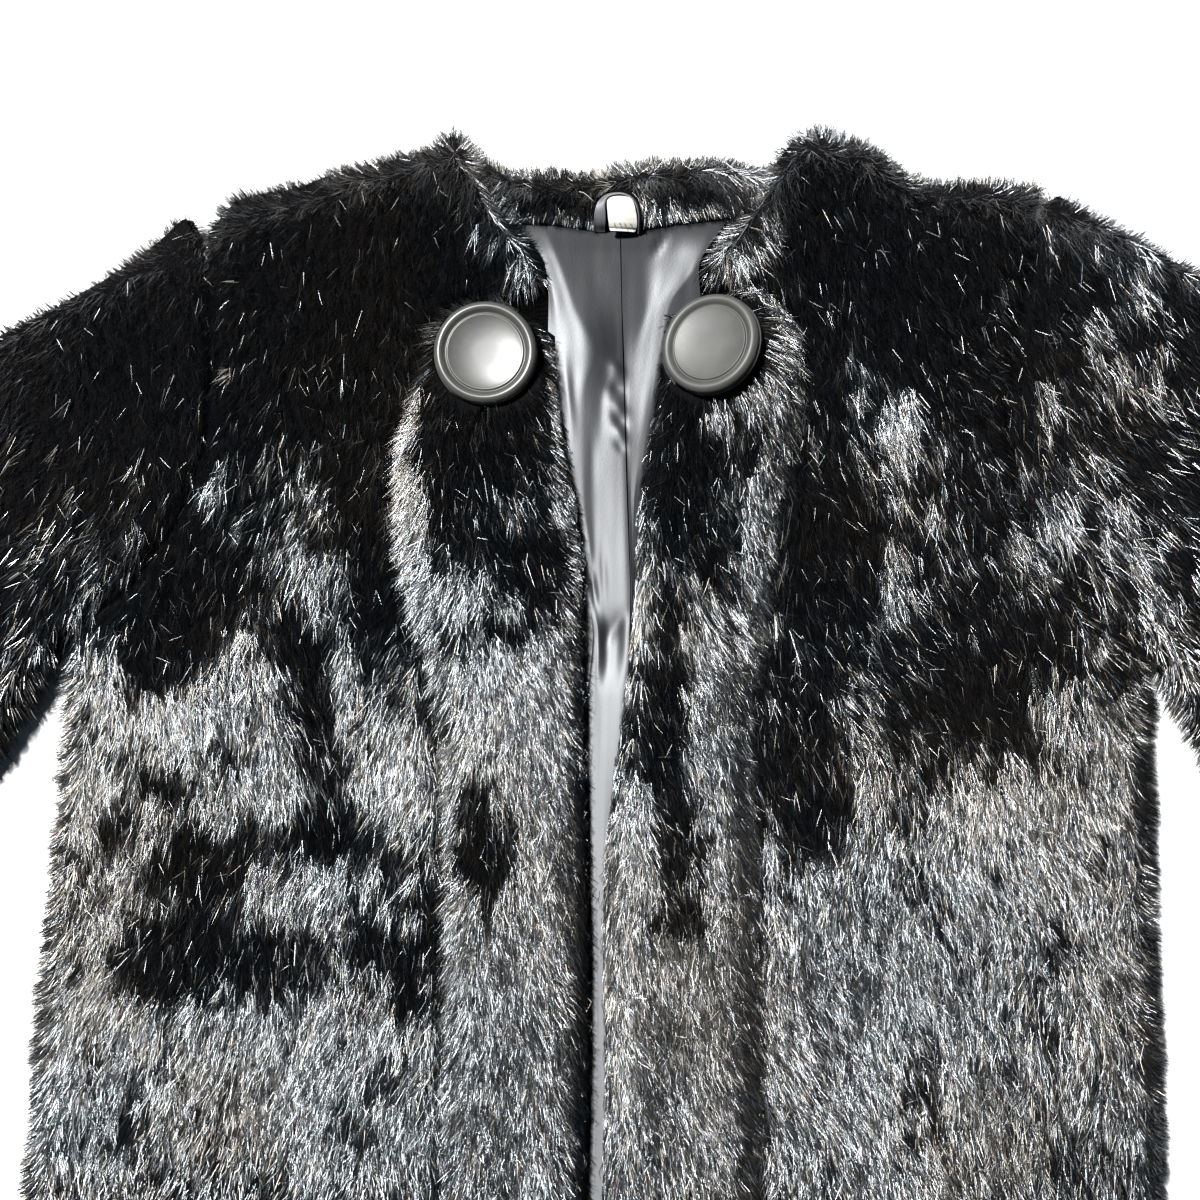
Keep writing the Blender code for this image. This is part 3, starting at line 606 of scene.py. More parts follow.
# %% Strand materials
# Dyed fur is never one black: some tufts are bluer and some are browner. Each is
# its own plain material, so any viewer shows it.
HAIR_SHADES = {
    # name: base colour, roughness, specular tint
    "fur_jet": ((0.0003, 0.0006, 0.0010), 0.265, (0.97, 0.98, 1.0)),
    "fur_blue_black": ((0.0002, 0.0008, 0.0014), 0.255, (0.86, 0.94, 1.0)),
    "fur_brown_black": ((0.0032, 0.0024, 0.0016), 0.31, (1.0, 0.93, 0.83)),
    "fur_cream": ((0.30, 0.28, 0.23), 0.55, (1.0, 1.0, 1.0)),
}
hair_materials = []
for shade, (color, roughness, tint) in HAIR_SHADES.items():
    material, _ = new_material(shade, color, roughness, Specular_IOR_Level=1.0,
                               Specular_Tint=(*tint, 1))
    hair_materials.append(material)


# %% Places for the roots
def solid_surface(node, lowest, highest):
    """Corners, ground normals and areas of the faces whose normal's rise is in a range."""
    bm = welded(node)
    points = np.array([v.co for v in bm.verts]) / MM
    ground = levelled(np.array([v.normal for v in bm.verts]), level_share(node, points))
    faces = [f for f in bm.faces if lowest < f.normal.z <= highest]
    index = np.array([[v.index for v in f.verts] for f in faces])
    areas = np.array([f.calc_area() for f in faces]) / MM ** 2
    bm.free()
    return points[index], ground[index], areas


LOOKED_AT = 490.0         # drop down to which the fur is finest
LOOKED_AT_X = 250.0
COARSER_OVER = 40         # mm over which it then becomes coarser
THINNER = 1.3             # how much more sparsely coarser hair grows


def coarseness(x, drop):
    """1 where the fur is finest, rising to 2 outside the part that is looked at most."""
    outside = np.maximum((drop - LOOKED_AT) / COARSER_OVER, (np.abs(x) - LOOKED_AT_X) / COARSER_OVER)
    return 1 + np.clip(outside, 0, 1)


def scatter(surface, count, rng):
    """Places spread evenly over a surface, closer where the fur is finer."""
    corners, normals, areas = surface
    centre = corners.mean(axis=1)
    weight = areas / coarseness(centre[:, 0], MID_DROP - centre[:, 1]) ** THINNER
    total = np.cumsum(weight)
    pick = np.searchsorted(total, (np.arange(count) + rng.random(count)) / count * total[-1])
    a, b = rng.random(count), rng.random(count)
    over = a + b > 1
    a, b = np.where(over, 1 - a, a), np.where(over, 1 - b, b)
    share = np.column_stack([1 - a - b, a, b])[:, :, None]
    point = (corners[pick] * share).sum(axis=1)
    normal = (normals[pick] * share).sum(axis=1)
    return point, normal / np.linalg.norm(normal, axis=1)[:, None]


# %% Sizes and habits of a strand
HAIR_LENGTH = 12.5
HAIR_WIDTH = 0.29
TUFTS = ((7.0, 0.20, 31), (1.6, 0.40, 32))     # size, pull on the tips, seed
TUFT_SHAPE = 0.6          # width of a tuft over its length
TUFT_TURN, HAIR_TURN = 9, 11          # how unevenly tufts and hairs head, in degrees
SPREAD = (4.5, 9.0)       # how unevenly hair stands, in degrees, where it is flat and upright
RISE_LIMITS = (5, 84)     # degrees
PROUD = 2.5               # upright hair ends this far above the solid, in mm
BEND = 0.10               # how far a strand bends, as a share of its length
FAN = 0.50                # how far a blade's normals fan out
ROLL = math.radians(18)   # how far the blades are turned about their own length
TURNED_UP = 0.9           # how far the blades turn their flat side up
CURVED = 0.06             # share of the strands that curve
MIDDLE_WIDTH = 0.8        # width of a curved strand at its middle, as a share
STRAY = 0.10              # share that stands out of its tuft
STRAY_TURN, STRAY_RISE = 3.0, 2.4     # those head and stand this much more unevenly
STRAY_LENGTH, STRAY_WIDTH = 0.6, 0.7
ROUND_BUTTON = 1.6        # how strongly the hair parts round a button
LOWEST_HAIR = 0.4         # nothing hangs through the floor

# %% The same at edges
EDGE_FALL = 2.5           # how strongly the hair falls outwards over a rounded edge
EDGE_LIFTED = 1.2         # how much less steep its ground counts there
EDGE_RAGGED = 0.22        # how unevenly long the hair is there
INNER_FROM = 140          # drop from which a band's inner edge is dressed on its own
INNER_FALL = {-1: 0.7, 1: 0.1}
INNER_LIFTED = 3.0
INNER_TURNED = 4.0        # how far the blades there turn their flat side up
LONGER = [
    # x, drop, radius, extra length in mm: ragged tufts on the outline
    (-187, 36, 9, 6.0), (-84, 1, 7, 7.0), (97, -3, 6, 6.0), (-212, 47, 7, 5.0), (116, 1, 12, 2.5),
    (207, 31, 13, 6.0),
]


def side_of(node):
    """-1 for a piece on the wearer's right, 1 for one on the left."""
    return SIDES[node.split("_")[0]]


def at_inner_edge(node, normal, drop):
    """Whether each place is on a band's inner edge, below its button."""
    if node not in BAND_EDGES:
        return np.zeros(len(drop), bool)
    return (normal[:, 0] * -side_of(node) > 0.1) & (drop > INNER_FROM)


def edge_fall(node, normal, drop):
    """How strongly hair falls over an edge; a band's inner edge keeps it straight."""
    steep = np.hypot(normal[:, 0], normal[:, 1])
    if node not in BAND_EDGES:
        return EDGE_FALL * steep
    return np.where(at_inner_edge(node, normal, drop), INNER_FALL[side_of(node)], 1.0) * steep


# %% Tufts, partings and lengths
def tufts_at(x, drop, rng):
    """Middle and number of each hair's fine tuft, and the pull of its tufts on its tip."""
    pull = np.zeros((len(x), 2))
    for size, strength, seed in TUFTS:
        middle_x, middle_drop, tuft = nearest_tuft(x, drop * TUFT_SHAPE, size, seed)
        middle_drop = middle_drop / TUFT_SHAPE
        strength = strength * rng.uniform(0.4, 1.3, len(x))
        pull += np.column_stack([middle_x - x, drop - middle_drop]) * strength[:, None]
    return middle_x, middle_drop, tuft, pull


def part_at_buttons(way, x, drop):
    """Turn the ways of the hair outwards round each button."""
    for button_x, button_drop, *_ in BUTTONS.values():
        outward = np.column_stack([x - button_x, button_drop - drop])
        away = np.linalg.norm(outward, axis=1)
        part = ROUND_BUTTON * np.clip((BUTTON_REACH - away) / 10, 0, 1)
        way[:, :2] += outward * (part / away)[:, None]


def strand_length(full, x, drop, normal, depth, rise):
    """Shorter where hair stands up, ragged over an edge, and longer in a few tufts."""
    length = np.clip(np.minimum(full, (depth + PROUD) / np.sin(rise)), 0.5 * depth + 3, None)
    ragged = EDGE_RAGGED * np.clip(1.4 * np.hypot(normal[:, 0], normal[:, 1]), 0, 1)
    length *= 1 + ragged * soft_noise(x, drop, 11, 71)
    for px, pd, radius, extra in LONGER:
        length += extra * np.exp(-((x - px) ** 2 + (drop - pd) ** 2) / radius ** 2)
    return length


# %% From roots to blades
def strand_lines(node, point, normal, depth, rng):
    """Root, middle and tip of each strand, its width, and the tuft that it is in."""
    x, drop = point[:, 0], MID_DROP - point[:, 1]
    count = len(x)
    middle_x, middle_drop, tuft, pull = tufts_at(x, drop, rng)
    luck = np.random.default_rng(41).normal(0, 1, (3, TABLE * TABLE))[:, tuft]
    stray = rng.random(count) < STRAY
    turn = rng.normal(0, HAIR_TURN, count) * np.where(stray, STRAY_TURN, 1.0)
    angle = np.radians(heading(node, middle_x, middle_drop) + TUFT_TURN * luck[0] + turn)
    steep = lift(node, middle_x, middle_drop, seam_share(node, point))
    spread = np.interp(steep, (LIFT_FLAT, LIFT_UP), SPREAD)
    uneven = luck[1] + rng.normal(0, 1, count) * np.where(stray, STRAY_RISE, 1.0)
    rise = np.radians(np.clip(steep + spread * uneven, *RISE_LIMITS))
    way = np.column_stack([np.sin(angle), -np.cos(angle), np.zeros(count)])
    part_at_buttons(way, x, drop)
    way[:, :2] += edge_fall(node, normal, drop)[:, None] * normal[:, :2]
    lifted = np.where(at_inner_edge(node, normal, drop), INNER_LIFTED, EDGE_LIFTED)[:, None]
    ground = unit(normal + UP * lifted * (1 - normal[:, 2:]))
    way = unit(way - ground * (way * ground).sum(axis=1)[:, None])
    along = way * np.cos(rise)[:, None] + ground * np.sin(rise)[:, None]
    full = (HAIR_LENGTH * rng.uniform(0.6, 1.15, count) * (1 + 0.10 * luck[2])
            * np.where(stray, STRAY_LENGTH, 1.0))
    length = strand_length(full, x, drop, normal, depth, rise)
    deep = np.minimum(depth, 1.0 + length * np.sin(rise) * rng.uniform(0.7, 1.25, count))
    root = point - ground * deep[:, None]
    tip = root + along * length[:, None]
    tip[:, :2] += pull
    for end in (tip, root):
        end[:, 2] = np.maximum(end[:, 2], LOWEST_HAIR)
    bend = (way * -BEND + ground * BEND) * length[:, None]
    middle = (root + tip) / 2 + bend * rng.uniform(0.2, 1.0, count)[:, None]
    width = (HAIR_WIDTH * rng.uniform(0.7, 1.3, count) * coarseness(x, drop) ** 0.75
             * np.where(stray, STRAY_WIDTH, 1.0))
    return root, middle, tip, width, tuft


def blades(root, middle, tip, width, normal, rng):
    """Corner points and corner normals of the blades: straight ones, then curved ones."""
    count = len(root)
    along = unit(tip - root)
    normal = unit(normal + TURNED_UP * UP)
    jitter = rng.normal(0, 1e-3, (count, 3))      # so that no direction comes out as zero
    face = unit(normal - along * (normal * along).sum(axis=1)[:, None] + jitter)
    side = np.cross(face, along)
    roll = rng.normal(0, ROLL, count)[:, None]
    face, side = (face * np.cos(roll) + side * np.sin(roll),
                  side * np.cos(roll) - face * np.sin(roll))
    half = side * width[:, None] / 2
    one, other = unit(face + side * FAN), unit(face - side * FAN)
    curved = rng.random(count) < CURVED
    straight = ~curved
    points = [np.stack([root + half, root - half, tip], axis=1)[straight]]
    bent = [np.stack([one, other, face], axis=1)[straight]]
    a, b = root + half, root - half
    c, d = middle - half * MIDDLE_WIDTH, middle + half * MIDDLE_WIDTH
    for corners, ways in (((a, b, c), (one, other, other)), ((a, c, d), (one, other, one)),
                          ((d, c, tip), (one, other, face))):
        points.append(np.stack(corners, axis=1)[curved])
        bent.append(np.stack(ways, axis=1)[curved])
    owner = np.concatenate([np.flatnonzero(straight)] + [np.flatnonzero(curved)] * 3)
    return np.concatenate(points), np.concatenate(bent), owner


# %% Write the blades into a mesh
def strand_mesh(name, points, normals, shade):
    count = len(points)
    mesh = bpy.data.meshes.new(name)
    mesh.vertices.add(count * 3)
    mesh.vertices.foreach_set("co", (points * MM).astype(np.float32).ravel())
    mesh.loops.add(count * 3)
    mesh.loops.foreach_set("vertex_index", np.arange(count * 3, dtype=np.int32))
    mesh.polygons.add(count)
    mesh.polygons.foreach_set("loop_start", np.arange(0, count * 3, 3, dtype=np.int32))
    for material in hair_materials:
        mesh.materials.append(material)
    mesh.polygons.foreach_set("material_index", shade.astype(np.int32))
    mesh.update(calc_edges=True)
    fan = mesh.attributes.new("custom_normal", "FLOAT_VECTOR", "POINT")
    fan.data.foreach_set("vector", normals.astype(np.float32).ravel())
    return mesh


CREAM_SPOTS = [
    # x, drop, radius: pale cream spots, two in the neck band and one on the chest
    (-10.5, 21.0, 3.8), (-4.0, 25.0, 2.2), (-188.0, 122.0, 3.4),
]


def shade_of(x, drop, tuft, rng):
    """Each tuft's dye: 0 jet, 1 blue black, 2 brown black, 3 cream."""
    luck = np.random.default_rng(43).normal(0, 1, TABLE * TABLE)[tuft]
    tone = 0.7 * soft_noise(x, drop, 60, 51) + 0.5 * luck + rng.normal(0, 0.5, len(x))
    shade = np.where(tone > 0.55, 2, np.where(tone < -0.25, 1, 0))
    for spot_x, spot_drop, radius in CREAM_SPOTS:
        shade[np.hypot(x - spot_x, drop - spot_drop) < radius * rng.uniform(0.5, 1.0, len(x))] = 3
    return shade


# %% Where hair is left out or kept short
UNDER_BUTTON = 24.0       # no hair grows this near a button's middle, in mm
LOOP_X, LOOP_DROP, LOOP_RADIUS = -1, 42, 11.5     # the arch of the hang loop
INNER_TRIM = 5.0          # hair this near a band's inner edge is kept as low as its solid
TRIM_FROM = 125           # drop from which that is done
ABOVE_ALL = 80            # rays are cast straight down from this height, in mm


def in_loop(point):
    """Whether a point lies inside the arch of the hang loop, or straight below it."""
    x, drop = point[:, 0] - LOOP_X, MID_DROP - point[:, 1] - LOOP_DROP
    arch = (x / LOOP_RADIUS) ** 2 + (drop / LOOP_RADIUS) ** 2 < 1
    return arch | ((np.abs(x) < LOOP_RADIUS) & (drop > 0))


def height_at(tree, x, drop, missed):
    """Height in mm of the top of a search tree's solids, or missed beside them."""
    hit = tree.ray_cast(place(x, drop, ABOVE_ALL), Vector((0, 0, -1)))[0]
    return hit.z / MM if hit else missed


def trim_inner_edge(node, tip, rng):
    """Keep the tips inside a band's inner edge and no higher than the solid there."""
    marks, low, high = BAND_EDGES[node]
    side = side_of(node)
    drop = MID_DROP - tip[:, 1]
    edge = np.interp(drop, marks, high if side < 0 else low)
    outside = np.minimum(side * (tip[:, 0] - edge) - rng.uniform(0.3, 2.8, len(tip)), 0)
    tip[:, 0] -= side * outside
    solid = tree_of([node])
    for k in np.flatnonzero((side * (tip[:, 0] - edge) < INNER_TRIM) & (drop > TRIM_FROM)):
        top = height_at(solid, tip[k, 0], drop[k], FLAT_LINING + 2)
        tip[k, 2] = min(tip[k, 2], top + 0.6)


# %% One solid's fur
def grow_fur(node, count, depth, seed, lowest=0.12, highest=1.0):
    """The fur of one solid, as a mesh of blades."""
    rng = np.random.default_rng(seed)
    point, normal = scatter(solid_surface(node, lowest, highest), count, rng)
    bare = np.zeros(len(point), bool)
    for x, drop, *_ in BUTTONS.values():
        bare |= np.hypot(point[:, 0] - x, MID_DROP - point[:, 1] - drop) < UNDER_BUTTON
    point, normal = point[~bare], normal[~bare]
    root, middle, tip, width, tuft = strand_lines(node, point, normal, depth, rng)
    keep = np.ones(len(point), bool)
    if node in BAND_EDGES:
        trim_inner_edge(node, tip, rng)
    if node == "back_neck_band":
        foot = np.interp(tip[:, 0], *zip(*NECK_FOOT)) + rng.uniform(-0.6, 1.2, len(tip))
        tip[:, 1] = np.maximum(tip[:, 1], MID_DROP - foot)
        keep = ~(in_loop(root) | in_loop(tip))
    point, normal, root, middle, tip, width, tuft = (
        a[keep] for a in (point, normal, root, middle, tip, width, tuft))
    shade = shade_of(point[:, 0], MID_DROP - point[:, 1], tuft, rng)
    if node in BAND_EDGES:
        facing_in = -side_of(node) * normal[:, :1]
        normal = unit(normal + INNER_TURNED * UP * np.clip(facing_in * 3, 0, 1))
    points, ways, owner = blades(root, middle, tip, width, normal, rng)
    mesh = strand_mesh(f"{node}_fur", points, ways, shade[owner])
    print(mesh.name, len(points), "triangles")
    return new_piece(mesh.name, mesh, "fur")


# %% Grow the fur of every piece
# node: strands, depth of the hair
FUR = {
    "right_front": (168000, 9.0),
    "left_front": (168000, 9.0),
    "right_front_band": (88000, 8.0),
    "left_front_band": (88000, 8.0),
    "back_neck_band": (12000, 4.5),
    "right_sleeve_top": (50000, 9.0),
    "left_sleeve_top": (52000, 9.0),
}
for seed, (node, (count, depth)) in enumerate(FUR.items(), start=100):
    grow_fur(node, count, depth, seed)

# %% The rounded sides of the pieces underneath
UNDER_FUR = {"back_panel": 26000, "right_sleeve_under": 11000, "left_sleeve_under": 11000}
UNDER_DEPTH = 4.0
for seed, (node, count) in enumerate(UNDER_FUR.items(), start=200):
    grow_fur(node, count, UNDER_DEPTH, seed, lowest=-0.95, highest=0.6)

# %% [markdown]
# ## Satin lining
# The back lining shows in the open front. It is cut in two halves with a seam down
# the middle of the back, and it lies in long soft folds. Satin is mostly dark and
# flashes where it leans towards the lamp, so the folds have to be real slopes. The
# table below is a loft: each row is one level down the coat, and each column is
# one line of the cloth, such as a crest, a crease or the seam, with its height.

# %% The lines of the lining, row by row
# (x, height above the flat lining) in mm. The first eight are the right half and
# the other six are the left half; the seam lies between them.
LINING_ROWS = [
    # drop, lines
    (47, ((-50.5, 0), (-47.6, 0.1), (-42.3, 0.7), (-36.6, 1.3), (-25.5, 1.2), (-15.9, 1.0), (-7.2, 0.9),
          (-0.3, 0.8), (0.2, 0.8), (9.1, 0.8), (24.5, 1.3), (39.4, 3.1), (45.6, 3.7), (51.5, 3.8))),
    (66, ((-36.4, 0), (-35.5, 0.2), (-32.2, 0.6), (-28.3, 1.0), (-20.2, 0.9), (-12.5, 0.8), (-5.3, 0.8),
          (0.5, 0.8), (1.0, 0.7), (12.0, 0.8), (23.1, 1.9), (33.6, 3.2), (37.0, 3.5), (38.6, 3.5))),
    (84, ((-34.2, 0), (-30.7, 1.1), (-26.4, 1.6), (-21.6, 2.1), (-13.9, 2.0), (-7.2, 1.8), (-2.3, 1.7),
          (1.4, 1.7), (1.8, 1.5), (12.6, 1.6), (17.8, 2.2), (23.1, 2.9), (25.5, 3.1), (40.0, 3.2))),
    (108, ((-34.0, 0), (-27.6, 1.5), (-20.9, 2.5), (-12.2, 3.4), (-7.9, 3.2), (-3.1, 2.8), (-0.2, 2.6),
           (2.7, 2.5), (3.4, 2.2), (7.5, 2.4), (13.7, 3.1), (19.0, 3.8), (21.4, 4.0), (38.0, 4.0))),
    (132, ((-38.0, 0), (-26.9, 1.6), (-21.7, 2.4), (-15.9, 3.3), (-12.5, 3.4), (-7.7, 3.5), (-2.4, 4.1),
           (4.0, 4.2), (4.6, 3.8), (6.7, 4.0), (11.5, 4.5), (15.8, 5.1), (17.7, 5.2), (36.0, 5.2))),
    (157, ((-42.0, 0), (-24.8, 1.8), (-19.5, 2.5), (-14.9, 3.0), (-11.7, 3.05), (-7.0, 3.6), (0.6, 4.6),
           (5.4, 5.1), (6.1, 4.9), (7.8, 5.0), (10.3, 5.2), (12.7, 5.4), (14.6, 5.5), (32.0, 5.5))),
    (181, ((-38.0, 0), (-19.8, 1.9), (-16.5, 2.3), (-13.7, 2.6), (-10.6, 2.65), (-5.9, 3.2), (1.3, 4.3),
           (6.8, 5.0), (7.5, 4.7), (8.5, 4.7), (9.5, 4.8), (10.4, 4.9), (12.4, 4.9), (30.0, 4.9))),
    (202, ((-34.0, 0), (-15.4, 1.3), (-13.0, 1.7), (-10.6, 2.1), (-9.1, 2.1), (-4.8, 2.8), (1.9, 3.9),
           (8.2, 4.8), (8.7, 4.6), (9.1, 4.6), (9.6, 4.5), (10.1, 4.5), (12.0, 4.5), (30.0, 4.4))),
    (229, ((-32.0, 0), (-10.8, 0.6), (-9.8, 0.75), (-8.9, 0.9), (-7.9, 1.05), (-3.6, 1.8), (3.1, 3.1),
           (9.7, 4.3), (10.1, 4.1), (10.4, 4.1), (10.8, 4.0), (11.3, 3.9), (13.2, 3.4), (30.0, 0))),
    (248, ((-31.0, 0), (-8.3, 0.4), (-7.4, 0.8), (-6.4, 1.1), (-5.0, 1.4), (-1.6, 0.9), (3.7, 1.9),
           (9.7, 3.8), (10.2, 3.6), (10.4, 3.5), (10.7, 3.4), (10.9, 3.2), (12.8, 2.6), (30.0, 0))),
    (277, ((-31.0, 0), (-10.5, 0), (-8.5, 0.5), (-6.6, 0.9), (-4.5, 1.4), (-2.0, 2.0), (1.5, 2.7),
           (9.8, 4.0), (10.3, 4.0), (10.7, 3.9), (11.2, 3.8), (12.7, 3.2), (14.0, 2.4), (30.0, 0))),
    (349, ((-28.0, 0), (-9.5, 0), (-7.5, 0.5), (-5.8, 0.9), (-4.2, 1.2), (-2.4, 1.6), (0.6, 2.2),
           (10.2, 3.2), (10.7, 3.0), (11.2, 2.8), (12.0, 2.5), (13.0, 2.0), (15.0, 1.2), (26.0, 0))),
    (459, ((-24.0, 0), (-5.5, 0), (-3.6, 0.4), (-2.0, 0.8), (-0.8, 1.0), (1.2, 1.5), (4.0, 2.1),
           (9.8, 2.7), (10.3, 2.6), (11.0, 2.4), (12.0, 2.0), (13.0, 1.6), (15.0, 0.9), (24.0, 0))),
    (716, ((-22.0, 0), (-5.5, 0), (-3.8, 0.4), (-2.2, 0.8), (-1.0, 1.0), (1.2, 1.5), (4.0, 2.1),
           (8.8, 2.5), (9.3, 2.4), (10.0, 2.2), (11.0, 1.9), (12.0, 1.5), (14.0, 0.8), (22.0, 0))),
]
SEAM_LINE = 7             # the right half is lines 0 to 7, the left half 8 to 13
PUCKERS = [
    # x, drop, turn, length, width, rise: small gathers beside the seam
    (-0.5, 115.4, 60, 9, 4.0, 0.6), (-0.2, 125.0, 70, 8, 3.6, -0.7), (1.6, 134.6, 65, 8, 3.4, 0.6),
    (2.2, 141.0, 60, 7, 2.8, -0.6), (2.3, 147.6, 60, 7, 2.8, 0.5), (3.0, 154.0, 60, 6, 2.6, -0.5),
    (-23.2, 130.0, 8, 34, 5.0, 0.5), (-8.8, 221.0, 12, 24, 3.4, -0.5), (-3.6, 216.0, 4, 26, 3.4, -0.3),
    (2.2, 242.0, -38, 20, 6.5, -0.55), (20.5, 52.0, -30, 14, 4.0, -0.9),
]
LINING_THICK = 1.0
NECK_RISE = 2.2           # the lining rises this far to its seam with the neck band


# %% A smooth line through points that never overshoots them
def smooth_line(knots, values, at):
    """Values at places between knots, on a monotone cubic."""
    knots, values = np.asarray(knots, float), np.asarray(values, float)
    gap = np.diff(knots)
    slope = np.diff(values) / gap
    same = slope[:-1] * slope[1:] > 0
    weight = np.where(same, slope[:-1] + slope[1:], 1.0)
    turn = np.concatenate([[slope[0]], np.where(same, 2 * slope[:-1] * slope[1:] / weight, 0),
                           [slope[-1]]])
    k = np.clip(np.searchsorted(knots, at, side="right") - 1, 0, len(gap) - 1)
    u = (at - knots[k]) / gap[k]
    return (values[k] * (1 + 2 * u) * (1 - u) ** 2 + values[k + 1] * u * u * (3 - 2 * u)
            + gap[k] * (turn[k] * u * (1 - u) ** 2 - turn[k + 1] * u * u * (1 - u)))


def small_folds(x, drop, folds):
    total = np.zeros(x.shape)
    for fx, fd, turn, length, width, rise in folds:
        across, along = turned_axes(x, drop, fx, fd, turn)
        across, along = across / (width / 2), along / (length / 2)
        total += rise * np.exp(-across ** 2 - along ** 2)
    return total


# %% Satin material
satin, satin_shader = new_material("black_satin", (0.006, 0.006, 0.0068), 0.4,
                                   Specular_IOR_Level=0.50, Anisotropic=0.72,
                                   Specular_Tint=(0.95, 0.975, 1.0, 1))
threads = group_node(satin, weave, Threads=1500.0, Cross=0.3)
bleach = group_node(satin, mottle, Scale=35.0)
rough_between(satin, satin_shader, bleach.outputs["Mask"], 0.40, 0.49)
weave_bump = raise_by(satin, satin_shader, threads.outputs["Height"], 0.000004, 0.5)
raise_by(satin, satin_shader, bleach.outputs["Fine"], 0.00002, 1.0, first=weave_bump)
grain = add(satin.node_tree, "ShaderNodeTangent", direction_type="UV_MAP", uv_map="threads")
satin.node_tree.links.new(grain.outputs["Tangent"], satin_shader.inputs["Tangent"])

# %% Loft the two halves
FINE_TO = 480             # drop down to which the rows are close together
FINE_STEP, COARSE_STEP = 2.0, 6.0
LINE_STEPS = 6            # columns between two lines
TO_FOOT_OVER = 20         # mm over which the rows follow the foot of the neck band
SATIN_RIPPLE = ((0.04, 2.2, 0.35, 9, 61), (0.12, 1, 0.3, 14, 62))
row_drops = [drop for drop, _ in LINING_ROWS]
row_lines = np.array([row for _, row in LINING_ROWS])
LINES = row_lines.shape[1]
drops = np.concatenate([np.arange(row_drops[0], FINE_TO, FINE_STEP),
                        np.arange(FINE_TO, row_drops[-1], COARSE_STEP), row_drops[-1:]])
line_x, line_z = (np.array([smooth_line(row_drops, row_lines[:, k, axis], drops)
                            for k in range(LINES)]).T for axis in (0, 1))
foot = np.array(NECK_FOOT)
print("lining rows and lines:", line_x.shape)


def lining_half(side, first, last):
    """Columns of cloth between two lines of the loft, as a thin closed sheet."""
    steps = np.arange(0, (last - first) * LINE_STEPS + 1) / LINE_STEPS + first
    x = np.array([np.interp(steps, np.arange(LINES), row) for row in line_x])
    z = np.array([smooth_line(row, height, at) for row, height, at in zip(line_x, line_z, x)])
    drop = np.repeat(drops[:, None], len(steps), axis=1)
    to_foot = np.interp(x, foot[:, 0], foot[:, 1]) + 0.4 - drops[0]
    drop = drop + to_foot * np.clip(1 - (drop - drops[0]) / TO_FOOT_OVER, 0, None)
    top = np.clip((drop - 46) / 12, 0, 1)
    ripple = layered_noise(SATIN_RIPPLE, x, drop)
    z = (z + small_folds(x, drop, PUCKERS) + ripple) * top + NECK_RISE * (1 - top)
    rows, columns = x.shape
    face = np.stack([x, MID_DROP - drop, FLAT_LINING + z], axis=-1).reshape(-1, 3)
    points = np.concatenate([face, face - [0, 0, LINING_THICK]]) * MM
    index = np.arange(rows * columns).reshape(rows, columns)
    a, b, c, d = index[:-1, :-1], index[1:, :-1], index[1:, 1:], index[:-1, 1:]
    upper = np.stack([a, b, c, d], axis=-1).reshape(-1, 4)
    lower = upper[:, ::-1] + rows * columns
    rim = np.concatenate([index[:, 0], index[-1, 1:], index[-2::-1, -1], index[0, -2:0:-1]])
    after = np.roll(rim, -1)
    wall = np.stack([after, rim, rim + rows * columns, after + rows * columns], axis=-1)
    mesh = bpy.data.meshes.new(f"{side}_back_lining_satin")
    mesh.from_pydata(points.tolist(), [], np.concatenate([upper, lower, wall]).tolist())
    mesh.shade_smooth()
    mesh.set_sharp_from_angle(angle=math.radians(60))
    grid = mesh.uv_layers.new(name="threads")
    corner = np.empty(len(mesh.loops), np.int32)
    mesh.loops.foreach_get("vertex_index", corner)
    grid.data.foreach_set("uv", (points[corner][:, [1, 0]] * 4 + 2).astype(np.float32).ravel())
    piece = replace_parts(new_piece(mesh.name, mesh, "satin", satin), f"{side}_back_lining")
    print(piece.name, len(mesh.polygons), "faces")
    return piece


linings = {"right": lining_half("right", 0, SEAM_LINE),
           "left": lining_half("left", SEAM_LINE + 1, LINES - 1)}

# %% [markdown]
# ## Buttons
# Each button is a large turned disc with a rolled rim, a narrow groove and a
# dished middle, lacquered in dull pewter. A lathe is the natural way to make one:
# a profile is spun round the axis. The lacquer has a mottled tarnish, an uneven
# roughness and tiny scuffs.

# %% Button profile: radius and height above the seat, in mm
BUTTON_PROFILE = [
    (0.0, 3.9), (4.0, 3.93), (8.0, 4.08), (12.0, 4.45), (15.0, 4.92), (17.0, 5.36), (17.9, 5.62),
    (18.25, 5.66), (18.5, 5.45), (18.7, 5.0), (19.0, 4.74), (19.35, 4.82), (19.8, 5.3),
    (20.4, 6.05), (21.1, 6.65), (21.9, 6.96), (22.6, 6.96), (23.4, 6.6), (24.1, 5.9), (24.6, 5.0),
    (24.8, 4.1), (24.7, 3.2), (24.4, 2.5), (24.35, 2.1), (24.7, 1.75), (25.0, 1.5), (25.0, 0.7),
    (24.6, 0.15), (24.0, 0.0), (12.0, 0.0), (0.0, 0.0),
]
BUTTON_STEPS = 128

# %% Pewter lacquer
LACQUER = {
    # button: lowest and highest roughness, and how strongly it mirrors; one is duller
    "right_button": (0.33, 0.40, 0.5),
    "left_button": (0.46, 0.54, 0.32),
}


